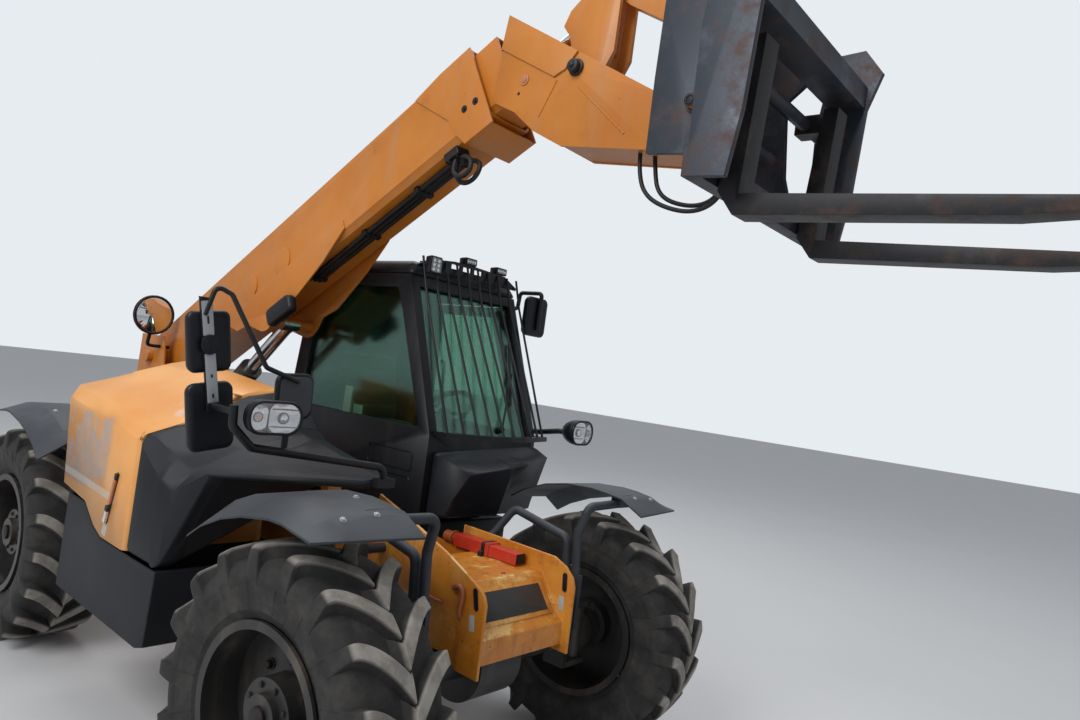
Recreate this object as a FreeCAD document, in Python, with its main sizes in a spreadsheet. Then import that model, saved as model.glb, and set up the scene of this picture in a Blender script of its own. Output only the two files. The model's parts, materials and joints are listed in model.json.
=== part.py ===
"""A telehandler, parked with its boom half raised and its forks level.

X points forward, Y to the left and Z up. Lengths are in millimetres, angles in degrees. Each piece
is drawn from the front axle's middle on the ground, or from its own pivot, and then placed.
"""

import FreeCAD, Part
import math
import os
import Sketcher

Vector = FreeCAD.Vector
X_AXIS, Y_AXIS, Z_AXIS = Vector(1, 0, 0), Vector(0, 1, 0), Vector(0, 0, 1)
doc = FreeCAD.newDocument("telehandler")

# Where the bonnet's two hinges and the door's two hinges stand.
BONNET_HINGES = (-2000, -1420)
DOOR_HINGES = (1330, 2150)

# Each row: name, value, what it measures. A place is measured from the front axle and the ground.
DRIVING = (
    ("wheelbase", 2750, "front axle to rear axle"),
    ("half_track", 924, "centre line to the middle of a straight wheel"),
    ("tyre_radius", 600, "ground to axle"),
    ("tyre_half", 220, "half of a tyre's section width"),
    ("tread_half", 200, "half of the tread's width"),
    ("bar_height", 48, "height of a tread bar"),
    ("bar_width", 50, "width of a tread bar"),
    ("tyre_bars", 14, "tread bars on each half of a tyre"),
    ("rim_radius", 312, "radius where a tyre sits"),
    ("rim_half", 200, "half of the rim's width"),
    ("flange_height", 21, "rim flange above the seat"),
    ("rim_wall", 12, "thickness of a rim's barrel"),
    ("disc_offset", 30, "middle of a wheel to its disc, outwards"),
    ("disc_thickness", 16, "thickness of a wheel disc"),
    ("hub_radius", 128, "radius of a hub drum"),
    ("hub_reach", 140, "middle of a wheel to the hub's face"),
    ("cap_radius", 78, "radius of a hub cap"),
    ("cap_height", 28, "thickness of a hub cap"),
    ("kingpin_inset", 174, "middle of a wheel to its kingpin, inwards"),
    ("kingpin_radius", 48, "radius of a kingpin boss"),
    ("kingpin_half", 135, "half of a kingpin boss's height"),
    ("knuckle_radius", 100, "radius of a knuckle's barrel"),
    ("steer_left", 9.3, "how far the left front wheel is turned to the left"),
    ("steer_right", 4.9, "how far the right front wheel is turned to the left"),
    ("axle_radius", 75, "radius of an axle tube"),
    ("diff_radius", 175, "radius of an axle's middle casing"),
    ("diff_half", 130, "half of the middle casing's width"),
    ("yoke_depth", 150, "length of an axle's end yoke across the machine"),
    ("yoke_width", 130, "width of an axle's end yoke along the machine"),
    ("yoke_plate", 28, "thickness of a yoke's arms"),
    ("small_gap", 0.3, "gap at seats"),
    ("running_fit", 0.05, "gap between a pin and its hole"),
    ("frame_half", 240, "centre line to the outer face of a chassis plate"),
    ("frame_plate", 12, "thickness of a chassis plate"),
    ("frame_rear", -3400, "rear end of the chassis plates"),
    ("frame_low", 480, "underside of the chassis between the axles"),
    ("frame_axle_low", 700, "underside of the chassis over the axles"),
    ("frame_deck", 1000, "top edge of the chassis beside the cab"),
    ("frame_front", -300, "front end of the chassis plates"),
    ("tower_top", 1835, "top of the boom towers"),
    ("tower_rear", -3385, "rear edge of a tower's top"),
    ("tower_front", -3040, "front edge of a tower's top"),
    ("nose_half", 303, "centre line to the outer face of a nose plate"),
    ("nose_plate", 16, "thickness of a nose plate"),
    ("nose_front", 302, "front edge of the nose plates"),
    ("nose_rear", -450, "rear edge of the nose plates"),
    ("nose_low", 651, "lower edge of the nose plates"),
    ("deck_top", 985, "deck between the nose plates"),
    ("deck_front", 100, "front edge of the deck"),
    ("ledge_top", 788, "top of the nose ledge"),
    ("ledge_front", 262, "front of the nose ledge"),
    ("frame_front_top", 970, "top front corner of the chassis plates"),
    ("strut_rear", -430, "rear end of the boom prop"),
    ("strut_front", 0, "front end of the boom prop"),
    ("strut_side", 240, "centre line to the middle of the boom prop"),
    ("strut_width", 74, "width of the red boom prop"),
    ("strut_height", 62, "height of the red boom prop"),
    ("core_arch", 805, "underside of the nose above the front axle"),
    ("weight_rear", -3500, "rear face of the counterweight"),
    ("weight_half", 560, "half of the counterweight's width"),
    ("weight_low", 640, "underside of the counterweight"),
    ("weight_top", 1180, "top of the counterweight"),
    ("hitch_radius", 16, "radius of the tow hitch's bore"),
    ("engine_rear", -1925, "rear of the engine"),
    ("engine_front", -1300, "front of the engine"),
    ("engine_outer", -930, "outer side of the engine"),
    ("engine_inner", -400, "inner side of the engine"),
    ("engine_low", 560, "underside of the engine"),
    ("engine_top", 1300, "top of the engine"),
    ("pod_outer", -1080, "outer face of the engine pod"),
    ("pod_inner", -330, "inner face of the engine pod"),
    ("pod_rear", -1960, "rear of the engine pod's skirt"),
    ("pod_front", -922, "front of the engine pod's skirt"),
    ("skirt_low", 500, "underside of the skirt"),
    ("skirt_wall", 12, "thickness of the skirt"),
    ("bonnet_rear", -2200, "rear edge of the bonnet"),
    ("bonnet_front", -1235, "front edge of the bonnet"),
    ("bonnet_rear_low", -2075, "rear edge of the bonnet at its foot"),
    ("bonnet_foot", 862, "lower edge of the bonnet at its front"),
    ("bonnet_inner", -400, "inner edge of the bonnet, where it is hinged"),
    ("hinge_y", -385, "bonnet hinge to the right of the centre line"),
    ("hinge_z", 1625, "bonnet hinge above the ground"),
    ("hinge_radius", 14, "radius of a hinge barrel"),
    ("hinge_pin", 6, "radius of a hinge pin"),
    ("bonnet_wall", 14, "thickness of the bonnet"),
    ("seam_gap", 8, "gap along the seams of a moving panel"),
    ("cowl_tip", -360, "front tip of the cowl"),
    ("cowl_tip_top", 1350, "top of the cowl tip"),
    ("cowl_inner", -310, "inner face of the cowl"),
    ("tank_rear", -1960, "rear of the tank under the cab"),
    ("tank_front", -820, "front of the tank under the cab"),
    ("tank_inner", 300, "inner face of the tank"),
    ("tank_outer", 1040, "outer face of the tank"),
    ("tank_low", 500, "underside of the tank"),
    ("tank_top", 1000, "top of the tank"),
    ("step_reach", 90, "how far the steps stand out"),
    ("cab_right", 172, "right face of the cab"),
    ("cab_left", 1051, "left face of the cab"),
    ("cab_wall", 60, "thickness of the cab's pillars and walls"),
    ("cab_low", 1060, "underside of the cab"),
    ("cab_sill", 1515, "lower edge of the cab's windows"),
    ("cab_eaves", 2383, "top of the cab's frame"),
    ("cab_front", -685, "front of the cab below its windows"),
    ("cab_front_top", -1020, "front of the cab's frame at its top"),
    ("cab_rear", -2060, "rear of the cab below its windows"),
    ("cab_rear_top", -1960, "rear of the cab's frame at its top"),
    ("roof_height", 85, "thickness of the roof cap"),
    ("roof_overhang", 15, "roof cap beyond the cab's frame"),
    ("glass", 6, "thickness of a window pane"),
    ("door_rear", -1730, "rear edge of the door"),
    ("door_low", 1140, "lower edge of the door"),
    ("door_hinge_x", -1755, "door hinge behind the front axle"),
    ("door_hinge_y", 1062, "door hinge to the left of the centre line"),
    ("door_thickness", 46, "thickness of the door"),
    ("door_rail", 62, "width of the door's frame"),
    ("guard_bars", 10, "number of upright bars in the windscreen guard"),
    ("guard_bar", 7, "radius of a guard bar"),
    ("guard_right", 215, "first bar of the windscreen guard"),
    ("guard_left", 1010, "last bar of the windscreen guard"),
    ("seat_width", 480, "width of the seat"),
    ("console_width", 420, "width of the dashboard\'s console"),
    ("seat_middle", 520, "centre line to the middle of the seat"),
    ("guard_inner", 720, "inner edge of a mudguard"),
    ("guard_outer", 1160, "outer edge of a mudguard"),
    ("guard_crest", 1358, "top of a mudguard"),
    ("guard_sheet", 8, "thickness of a mudguard"),
    ("guard_tube", 22, "radius of a mudguard's tubes"),
    ("arm_tube", 17, "radius of the mirror arms"),
    ("pivot_x", -3200, "boom pivot behind the front axle"),
    ("pivot_z", 1683, "boom pivot above the ground"),
    ("pin_radius", 42, "radius of the boom pin"),
    ("boom_angle", 28.7, "how far the boom is raised"),
    ("boom_half", 150, "half of the outer boom's width"),
    ("boom_depth", 386, "height of the outer boom's section"),
    ("boom_wall", 10, "wall of a boom section"),
    ("ring_reach", 12, "bosses and lugs beyond the outer boom's side"),
    ("boom_start", -260, "rear end of the outer boom from its pivot"),
    ("boom_end", 3285, "front end of the outer boom from its pivot"),
    ("collar_start", 2866, "rear tip of the front collar from the pivot"),
    ("boom_play", 12, "wear pad thickness between the boom sections"),
    ("collar_plate", 10, "thickness of the collar"),
    ("lug_place", 1300, "pivot to the lift cylinder's eye along the boom"),
    ("lug_drop", 330, "boom axis down to the lift cylinder's eye"),
    ("lift_base_x", -3170, "lift cylinder's foot behind the front axle"),
    ("lift_base_z", 950, "lift cylinder's foot above the ground"),
    ("lift_barrel_radius", 72, "radius of the lift cylinder"),
    ("lift_rod_radius", 42, "radius of the lift cylinder's rod"),
    ("lift_barrel_length", 1180, "foot to mouth of the lift cylinder"),
    ("lift_rod_length", 1050, "length of the lift cylinder's rod"),
    ("head_x", 251, "tilt lever's pivot in front of the front axle"),
    ("head_z", 3243, "tilt lever's pivot above the ground"),
    ("carriage_x", 905, "carriage pivot in front of the front axle"),
    ("carriage_z", 2975, "carriage pivot above the ground"),
    ("lever_x", 85, "tilt lever's pivot to its link pin, forwards"),
    ("lever_z", 405, "tilt lever's pivot to its link pin, upwards"),
    ("lever_rod_x", -100, "tilt lever's pivot to its rod pin, forwards"),
    ("lever_rod_z", 250, "tilt lever's pivot to its rod pin, upwards"),
    ("tilt_base_u", 2450, "boom pivot to the tilt cylinder's foot along the boom"),
    ("tilt_base_v", -20, "boom axis up to the tilt cylinder's foot"),
    ("tilt_barrel_radius", 48, "radius of the tilt cylinder"),
    ("tilt_rod_radius", 26, "radius of the tilt cylinder's rod"),
    ("tilt_barrel_length", 1040, "foot to mouth of the tilt cylinder"),
    ("tilt_rod_length", 720, "length of the tilt cylinder's rod"),
    ("head_half", 130, "half of the boom head's width"),
    ("head_plate", 14, "thickness of the boom head's plates"),
    ("head_doubler", 10, "thickness of the doubler where the head meets the tube"),
    ("link_boss", 70, "radius of the bosses at the link's front pin"),
    ("link_half", 34, "half of the tilt link's width"),
    ("small_pin", 24, "radius of the pins at the boom's head"),
    ("carriage_half", 520, "half of the carriage's width"),
    ("carriage_lug", 188, "centre line to the inner face of a carriage lug"),
    ("carriage_plate", 24, "thickness of the carriage's plates"),
    ("shaft_x", 1112, "front axle forward to the fork shaft"),
    ("shaft_z", 3045, "height of the fork shaft"),
    ("shaft_radius", 26, "radius of the fork shaft"),
    ("fork_side", 340, "centre line to the middle of a fork"),
    ("fork_width", 100, "width of a fork"),
    ("fork_length", 1107, "length of a fork's blade"),
    ("fork_heel_x", 1218, "front face of the fork shanks"),
    ("fork_heel_z", 2503, "underside of the fork blades"),
    ("fork_top", 3098, "top of the fork shanks"),
)


class Size:
    """A length that knows its value and the rule of sheet cells that gives it."""

    def __init__(self, value, rule):
        self.value = value
        self.rule = rule

    def __float__(self):
        return float(self.value)

    def __add__(self, other):
        return Size(self.value + float(other), "(%s + %s)" % (self.rule, rule_of(other)))

    def __radd__(self, other):
        return Size(float(other) + self.value, "(%s + %s)" % (rule_of(other), self.rule))

    def __sub__(self, other):
        return Size(self.value - float(other), "(%s - %s)" % (self.rule, rule_of(other)))

    def __rsub__(self, other):
        return Size(float(other) - self.value, "(%s - %s)" % (rule_of(other), self.rule))

    def __mul__(self, other):
        return Size(self.value * float(other), "(%s * %s)" % (self.rule, rule_of(other)))

    def __rmul__(self, other):
        return self * other

    def __truediv__(self, other):
        return Size(self.value / float(other), "(%s / %s)" % (self.rule, rule_of(other)))

    def __neg__(self):
        return Size(-self.value, "(0 - %s)" % self.rule)


def rule_of(value):
    return value.rule if isinstance(value, Size) else repr(float(value))


sheet = doc.addObject("Spreadsheet::Sheet", "sizes")


class Driving:
    """The driving dimensions by name, each read back from its cell."""


d = Driving()
for row, (name, value, meaning) in enumerate(DRIVING, 1):
    sheet.set("A%d" % row, meaning)
    sheet.set("B%d" % row, str(value))
    sheet.setAlias("B%d" % row, name)
doc.recompute()
for name, value, meaning in DRIVING:
    setattr(d, name, Size(float(sheet.get(name)), "sizes." + name))


def bind(thing, **rules):
    """Ties each named property of a document object to its rule."""
    for name, rule in rules.items():
        thing.setExpression(name.replace("_", "."), rule_of(rule))


def box(name, low, high):
    """A block between two corners, each given as (x, y, z)."""
    block = doc.addObject("Part::Box", name)
    bind(block, Length=high[0] - low[0], Width=high[1] - low[1], Height=high[2] - low[2])
    bind(block, Placement_Base_x=low[0], Placement_Base_y=low[1], Placement_Base_z=low[2])
    return block


def rod(name, axis, start, length, radius):
    """A round bar that starts at a point and runs along a row axis."""
    bar = doc.addObject("Part::Cylinder", name)
    bar.Placement = FreeCAD.Placement(Vector(), FreeCAD.Rotation(Z_AXIS, axis))
    bind(bar, Radius=radius, Height=length)
    bind(bar, Placement_Base_x=start[0], Placement_Base_y=start[1], Placement_Base_z=start[2])
    return bar


def sketch_on(body, plane, corners, offset):
    """A closed outline of straight lines on one of a body's own planes, each corner tied to its rules."""
    drawing = body.newObject("Sketcher::SketchObject", body.Name + "_outline")
    support = [feature for feature in body.Origin.OriginFeatures if feature.Role == plane][0]
    drawing.AttachmentSupport = (support, [""])
    drawing.MapMode = "FlatFace"
    drawing.setExpression("AttachmentOffset.Base.z", rule_of(offset))
    count = len(corners)
    points = [Vector(float(across), float(up), 0) for across, up in corners]
    for n in range(count):
        drawing.addGeometry(Part.LineSegment(points[n], points[(n + 1) % count]), False)
    for n in range(count):
        drawing.addConstraint(Sketcher.Constraint("Coincident", n, 2, (n + 1) % count, 1))
    for n, (across, up) in enumerate(corners):
        for kind, place in (("DistanceX", across), ("DistanceY", up)):
            number = drawing.addConstraint(Sketcher.Constraint(kind, -1, 1, n, 1, float(place)))
            drawing.renameConstraint(number, "%s%d" % (kind, n))
            drawing.setExpression("Constraints.%s%d" % (kind, n), rule_of(place))
    return drawing


def plate(name, corners, middle, thickness):
    """An outline of (x, z) corners made thick about its middle plane, which lies at y = middle."""
    body = doc.addObject("PartDesign::Body", name)
    drawing = sketch_on(body, "XZ_Plane", corners, 0 - middle)
    pad = body.newObject("PartDesign::Pad", name + "_pad")
    pad.Profile = drawing
    pad.SideType = "Symmetric"
    bind(pad, Length=thickness)
    return body


def floor_plate(name, corners, middle, thickness):
    """An outline of (x, y) corners made thick about the level z = middle."""
    body = doc.addObject("PartDesign::Body", name)
    drawing = sketch_on(body, "XY_Plane", corners, middle)
    pad = body.newObject("PartDesign::Pad", name + "_pad")
    pad.Profile = drawing
    pad.SideType = "Symmetric"
    bind(pad, Length=thickness)
    return body


def turned(name, corners):
    """An outline of (y, radius) corners turned about the Y axis."""
    body = doc.addObject("PartDesign::Body", name)
    drawing = sketch_on(body, "YZ_Plane", corners, 0)
    turn = body.newObject("PartDesign::Revolution", name + "_turn")
    turn.Profile = drawing
    turn.ReferenceAxis = (drawing, ["H_Axis"])
    turn.Angle = 360
    return body


def fuse(name, pieces):
    joined = doc.addObject("Part::MultiFuse", name)
    joined.Shapes = pieces
    joined.Refine = True
    return joined


def cut(name, base, tools):
    """A piece less one or more others."""
    trimmed = doc.addObject("Part::Cut", name)
    trimmed.Base = base
    trimmed.Tool = tools[0] if len(tools) == 1 else fuse(name + "_tools", tools)
    trimmed.Refine = True
    return trimmed


def mirrored(name, piece):
    """The same piece on the other side of the centre line."""
    other = doc.addObject("Part::Mirroring", name)
    other.Source = piece
    other.Normal = Y_AXIS
    return other


def computed(name, shape):
    """A shape worked out here, where no feature makes it."""
    feature = doc.addObject("Part::Feature", name)
    feature.Shape = shape
    return feature


def point(place):
    return Vector(*[float(value) for value in place])


def bent_tube(name, places, radius, bend):
    """A round tube along straight runs joined by arcs of one bend radius."""
    spots = [point(place) for place in places]
    edges = []
    start = spots[0]
    for before, corner, after in zip(spots, spots[1:], spots[2:]):
        back = (before - corner).normalize()
        ahead = (after - corner).normalize()
        half = back.getAngle(ahead) / 2
        run = float(bend) / math.tan(half)
        first = corner + back * run
        last = corner + ahead * run
        inward = (back + ahead).normalize()
        middle = corner + inward * (float(bend) / math.sin(half) - float(bend))
        edges.append(Part.LineSegment(start, first).toShape())
        edges.append(Part.Arc(first, middle, last).toShape())
        start = last
    edges.append(Part.LineSegment(start, spots[-1]).toShape())
    path = Part.Wire(edges)
    ring = Part.Wire(
        [
            Part.Circle(spots[0], (spots[1] - spots[0]).normalize(), float(radius)).toShape(),
        ],
    )
    return computed(name, path.makePipeShell([ring], True, False))


def loft(name, sections):
    """A solid with flat faces between closed outlines that have as many corners each."""
    wires = []
    for section in sections:
        spots = [point(place) for place in section]
        wires.append(Part.makePolygon(spots + [spots[0]]))
    return computed(name, Part.makeLoft(wires, True, True))


finished = []


def finish(label, piece, placement):
    """Names a finished sub-part, puts it in its place and keeps it for writing."""
    piece.Label = label
    piece.Placement = placement
    finished.append(piece)


def turn_about_y(angle):
    return FreeCAD.Rotation(Y_AXIS, angle)


# The origin lies below the middle of the machine's length, between the rear face and the fork tips.
fork_tip = d.fork_heel_x + d.fork_length
middle_x = (float(d.weight_rear) + float(fork_tip)) / 2
machine = FreeCAD.Placement(Vector(-middle_x, 0, 0), FreeCAD.Rotation())


def tyre_solid(lean):
    """A carcass in flat facets with slanted bars around it, drawn about the wheel's middle.

    The lean is the bars' angle from the axle. Its sign says which way round the wheel rolls.
    """
    facets = 24
    step = 2 * math.pi / facets
    bore = float(d.rim_radius + d.small_gap) / math.cos(step / 2)
    bead = float(d.rim_radius + d.flange_height) + 8
    seat = float(d.rim_half) - 14
    side = float(d.tyre_half)
    crown = float(d.tyre_radius) - float(d.bar_height)
    half = (
        (float(d.tread_half) - 35, crown),
        (side, crown - 65),
        (side, float(d.rim_radius) + 110),
        (seat, bead),
        (seat, bore),
    )
    profile = list(half) + [(-y, radius) for y, radius in reversed(half)]
    rings = []
    for number in range(facets + 1):
        ahead, up = math.sin(step * number), math.cos(step * number)
        rings.append([point((radius * ahead, y, radius * up)) for y, radius in profile])
    faces = []
    for ring, following in zip(rings, rings[1:]):
        for near in range(len(profile)):
            far = (near + 1) % len(profile)
            corners = [ring[near], ring[far], following[far], following[near], ring[near]]
            faces.append(Part.Face(Part.makePolygon(corners)))
    carcass = Part.makeSolid(Part.makeShell(faces))
    bars = []
    count = int(float(d.tyre_bars))
    reach = float(d.tread_half) - 9
    run = reach / math.cos(math.radians(lean))
    width = float(d.bar_width)
    top = float(d.tyre_radius) - 8.5
    for number in range(2 * count):
        way = 1 if number % 2 else -1
        bar = Part.makeBox(width, run, top - crown + 17, Vector(-width / 2, -run / 2, crown - 17))
        bar.rotate(Vector(0, 0, 0), Vector(0, 0, 1), -way * lean)
        bar.translate(Vector(0, way * (reach / 2 + 5), 0))
        bar.rotate(Vector(0, 0, 0), Vector(0, 1, 0), 180 * number / count)
        bars.append(bar)
    return carcass.fuse(bars)


def tyre(side, place, label):
    finish(label, computed(label + "_solid", tyre_shapes[side]), place)


def rim(place, label):
    """The rim's barrel, its dished disc and the hub drum, outwards along +Y before it is placed."""
    seat = d.rim_radius
    inner = d.rim_radius - d.rim_wall
    section = (
        (-d.rim_half, inner),
        (-d.rim_half, seat + d.flange_height),
        (14 - d.rim_half - d.small_gap, seat + d.flange_height),
        (14 - d.rim_half - d.small_gap, seat),
        (d.rim_half - 14 + d.small_gap, seat),
        (d.rim_half - 14 + d.small_gap, seat + d.flange_height),
        (d.rim_half, seat + d.flange_height),
        (d.rim_half, inner),
        (d.disc_offset + d.disc_thickness, inner),
        (d.disc_offset + d.disc_thickness, d.hub_radius),
        (d.hub_reach, d.hub_radius),
        (d.hub_reach, d.cap_radius),
        (d.hub_reach + d.cap_height, d.cap_radius),
        (d.hub_reach + d.cap_height, 0),
        (d.disc_offset - 80, 0),
        (d.disc_offset - 80, d.hub_radius),
        (d.disc_offset, d.hub_radius),
        (d.disc_offset, inner),
    )
    finish(label, turned(label, section), place)


def knuckle(place, label):
    """A kingpin boss and the stub that carries the wheel, drawn from the wheel's middle."""
    boss = rod(
        label + "_boss",
        Z_AXIS,
        (0, -d.kingpin_inset, -d.kingpin_half),
        2 * d.kingpin_half,
        d.kingpin_radius,
    )
    stub_end = d.disc_offset - 80 - d.small_gap
    stub = rod(
        label + "_stub",
        Y_AXIS,
        (0, -d.kingpin_inset + 20, 0),
        stub_end + d.kingpin_inset - 20,
        d.knuckle_radius,
    )
    arm = box(label + "_arm", (-170, -d.kingpin_inset - 25, -60), (0, -d.kingpin_inset + 25, -30))
    finish(label, fuse(label, [boss, stub, arm]), place)


tyre_shapes = {1: tyre_solid(-40), -1: tyre_solid(40)}
# Each row: name, axle place, side, how far it is turned to the left.
CORNERS = (
    ("front_left", 0.0, 1, float(d.steer_left)),
    ("front_right", 0.0, -1, float(d.steer_right)),
    ("rear_left", -float(d.wheelbase), 1, 0.0),
    ("rear_right", -float(d.wheelbase), -1, 0.0),
)
for name, axle_x, side, steer in CORNERS:
    kingpin = Vector(
        axle_x - middle_x,
        side * float(d.half_track - d.kingpin_inset),
        float(d.tyre_radius),
    )
    outward = FreeCAD.Rotation(Z_AXIS, steer + (0 if side > 0 else 180))
    centre = kingpin + outward.multVec(Vector(0, float(d.kingpin_inset), 0))
    place = FreeCAD.Placement(centre, outward)
    tyre(side, place, "tyre_" + name)
    rim(place, "rim_" + name)
    knuckle(place, "knuckle_" + name)


def axle(label, axle_x, saddle_half, saddle_in, saddle_out, saddle_top):
    """A tube with a round middle casing, a yoke about each kingpin and a saddle below each frame plate."""
    yoke_in = d.half_track - d.kingpin_inset - 110
    tube = rod(
        label + "_tube",
        Y_AXIS,
        (axle_x, -yoke_in, d.tyre_radius),
        2 * yoke_in,
        d.axle_radius,
    )
    casing = rod(
        label + "_casing",
        Y_AXIS,
        (axle_x, -d.diff_half, d.tyre_radius),
        2 * d.diff_half,
        d.diff_radius,
    )
    arm_top = d.kingpin_half + d.small_gap + d.yoke_plate
    web = box(
        label + "_web",
        (axle_x - d.yoke_width / 2, yoke_in - 30, d.tyre_radius - arm_top),
        (axle_x + d.yoke_width / 2, yoke_in, d.tyre_radius + arm_top),
    )
    upper = box(
        label + "_upper",
        (axle_x - d.yoke_width / 2, yoke_in - 30, d.tyre_radius + d.kingpin_half + d.small_gap),
        (axle_x + d.yoke_width / 2, yoke_in + d.yoke_depth, d.tyre_radius + arm_top),
    )
    lower = box(
        label + "_lower",
        (axle_x - d.yoke_width / 2, yoke_in - 30, d.tyre_radius - arm_top),
        (
            axle_x + d.yoke_width / 2,
            yoke_in + d.yoke_depth,
            d.tyre_radius - d.kingpin_half - d.small_gap,
        ),
    )
    yoke = fuse(label + "_yoke", [web, upper, lower])
    saddle = box(
        label + "_saddle",
        (axle_x - saddle_half, saddle_in, d.tyre_radius),
        (axle_x + saddle_half, saddle_out, saddle_top - d.small_gap),
    )
    end = fuse(label + "_end", [yoke, saddle])
    pieces = [tube, casing, end, mirrored(label + "_end_right", end)]
    finish(label, fuse(label, pieces), machine)


axle("front_axle", 0, 80, 190, 270, d.core_arch)
axle("rear_axle", -d.wheelbase, 90, 212, 252, d.frame_axle_low)


def chassis_frame():
    """Two long plates that rise into the boom towers, tied by cross plates."""
    outline = (
        (d.frame_rear, d.frame_axle_low),
        (-d.wheelbase + 330, d.frame_axle_low),
        (-d.wheelbase + 480, d.frame_low),
        (d.frame_front - 400, d.frame_low),
        (d.frame_front - 230, d.frame_axle_low + 2),
        (d.frame_front, d.frame_axle_low + 2),
        (d.frame_front, d.frame_front_top),
        (d.cab_front - 40, d.frame_deck),
        (-d.wheelbase + 350, d.frame_deck),
        (d.tower_front + 160, d.frame_deck + 200),
        (d.tower_front, d.tower_top),
        (d.tower_rear, d.tower_top),
        (d.frame_rear, d.frame_deck + 200),
    )
    side = plate("chassis_side", outline, d.frame_half - d.frame_plate / 2, d.frame_plate)
    inner = d.frame_half - d.frame_plate
    belly = box(
        "chassis_belly",
        (-d.wheelbase + 480, -inner, d.frame_low),
        (d.frame_front - 400, inner, d.frame_low + d.frame_plate),
    )
    bulkhead = box(
        "chassis_bulkhead",
        (d.frame_front - 400 - d.frame_plate, -inner, d.frame_low),
        (d.frame_front - 400, inner, d.frame_deck - 20),
    )
    front_floor = box(
        "chassis_front_floor",
        (d.frame_front - 230, -inner, d.frame_axle_low + 2),
        (d.frame_front, inner, d.frame_axle_low + 2 + d.frame_plate),
    )
    rear_floor = box(
        "chassis_rear_floor",
        (d.frame_rear, -inner, d.frame_axle_low),
        (-d.wheelbase - 200, inner, d.frame_axle_low + d.frame_plate),
    )
    foot = rod("lift_foot", Y_AXIS, (d.lift_base_x, -inner, d.lift_base_z), inner - 60, 55)
    boss = rod(
        "pivot_boss",
        Y_AXIS,
        (d.pivot_x, -inner - 5, d.pivot_z),
        inner + 5 - d.boom_half - d.ring_reach - d.small_gap,
        2 * d.pin_radius,
    )
    bosses = [foot, mirrored("lift_foot_left", foot), boss, mirrored("pivot_boss_left", boss)]
    pin = rod(
        "pivot_pin",
        Y_AXIS,
        (d.pivot_x, -d.frame_half - 40, d.pivot_z),
        2 * (d.frame_half + 40),
        d.pin_radius,
    )
    cowl_stay = box(
        "cowl_stay",
        (-900, d.cowl_inner + d.small_gap, d.frame_deck - 60),
        (-840, -inner - 2, 1300),
    )
    skirt_stay = box(
        "skirt_stay",
        (-1800, d.pod_inner + d.small_gap, 540),
        (-1500, -inner - 2, 600),
    )
    brackets = [cowl_stay, skirt_stay]
    for number, x in enumerate(BONNET_HINGES):
        brackets.append(
            box(
                "hinge_post_%d" % number,
                (x - 25, -300, d.frame_deck - 60),
                (x + 25, -inner - 2, d.hinge_z + 10),
            )
        )
        for place in (x - 25, x + 15 + d.small_gap):
            brackets.append(
                box(
                    "hinge_arm_%d_%d" % (number, int(float(place))),
                    (place, d.hinge_y, d.hinge_z - 10),
                    (place + 10 - d.small_gap, -290, d.hinge_z + 10),
                )
            )
        brackets.append(
            rod("hinge_wire_%d" % number, X_AXIS, (x - 25, d.hinge_y, d.hinge_z), 50, 6)
        )
    pieces = [
        side,
        mirrored("chassis_side_right", side),
        belly,
        bulkhead,
        front_floor,
        rear_floor,
        pin,
    ]
    pieces += bosses + brackets
    finish("chassis_frame", fuse("chassis_frame", pieces), machine)


def nose_frame():
    """The front of the chassis: two side plates about a deck, a sloping panel and a ledge.

    The right plate climbs steeply to the cowl, the left one runs level below the cab.
    """
    foot = (
        (d.nose_rear, d.frame_axle_low + 20),
        (-120, d.frame_axle_low),
        (120, d.frame_axle_low),
        (175, d.nose_low + 3),
        (d.nose_front + 3, d.nose_low),
        (d.nose_front, 955),
    )
    right_top = ((285, 990), (255, 1015), (37, 1110), (-236, 1200), (d.nose_rear, 1262))
    left_top = ((285, 1000), (240, 1040), (165, 1070), (d.nose_rear, 1082))
    middle = d.nose_half - d.nose_plate / 2
    right = plate("nose_right", foot + right_top, -middle, d.nose_plate)
    left = plate("nose_left", foot + left_top, middle, d.nose_plate)
    inner = d.nose_half - d.nose_plate
    rear = d.frame_front + d.small_gap
    core = plate(
        "nose_core",
        (
            (rear, d.frame_axle_low + 20),
            (-190, d.frame_axle_low + 20),
            (-190, d.core_arch),
            (190, d.core_arch),
            (190, d.frame_axle_low),
            (230, d.frame_axle_low - 12),
            (d.ledge_front + 6, d.frame_axle_low - 12),
            (d.ledge_front, d.ledge_top),
            (235, d.ledge_top + 24),
            (d.deck_front, d.deck_top),
            (rear, d.deck_top),
        ),
        0,
        2 * inner,
    )
    wing = box(
        "nose_wing",
        (d.nose_rear, -inner, d.frame_axle_low + 70),
        (rear, -d.frame_half - d.small_gap, d.deck_top - 25),
    )
    pieces = [right, left, core, wing, mirrored("nose_wing_left", wing)]
    finish("nose_frame", fuse("nose_frame", pieces), machine)


def safety_strut():
    """The red prop that lies on the deck, in two lengths with a strap."""
    floor = d.deck_top + d.small_gap
    right = d.strut_side - d.strut_width / 2
    left = d.strut_side + d.strut_width / 2
    middle = d.strut_rear * 0.45
    top = floor + d.strut_height
    halves = [
        box("strut_rear_half", (d.strut_rear, right, floor), (middle, left, top)),
        box(
            "strut_front_half",
            (middle - 10, right + 4, floor + 3),
            (d.strut_front, left - 4, top - 4),
        ),
        box("strut_strap", (middle - 12, right - 5, floor), (middle + 14, left + 5, top + 5)),
    ]
    finish("safety_strut", fuse("safety_strut", halves), machine)


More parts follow.
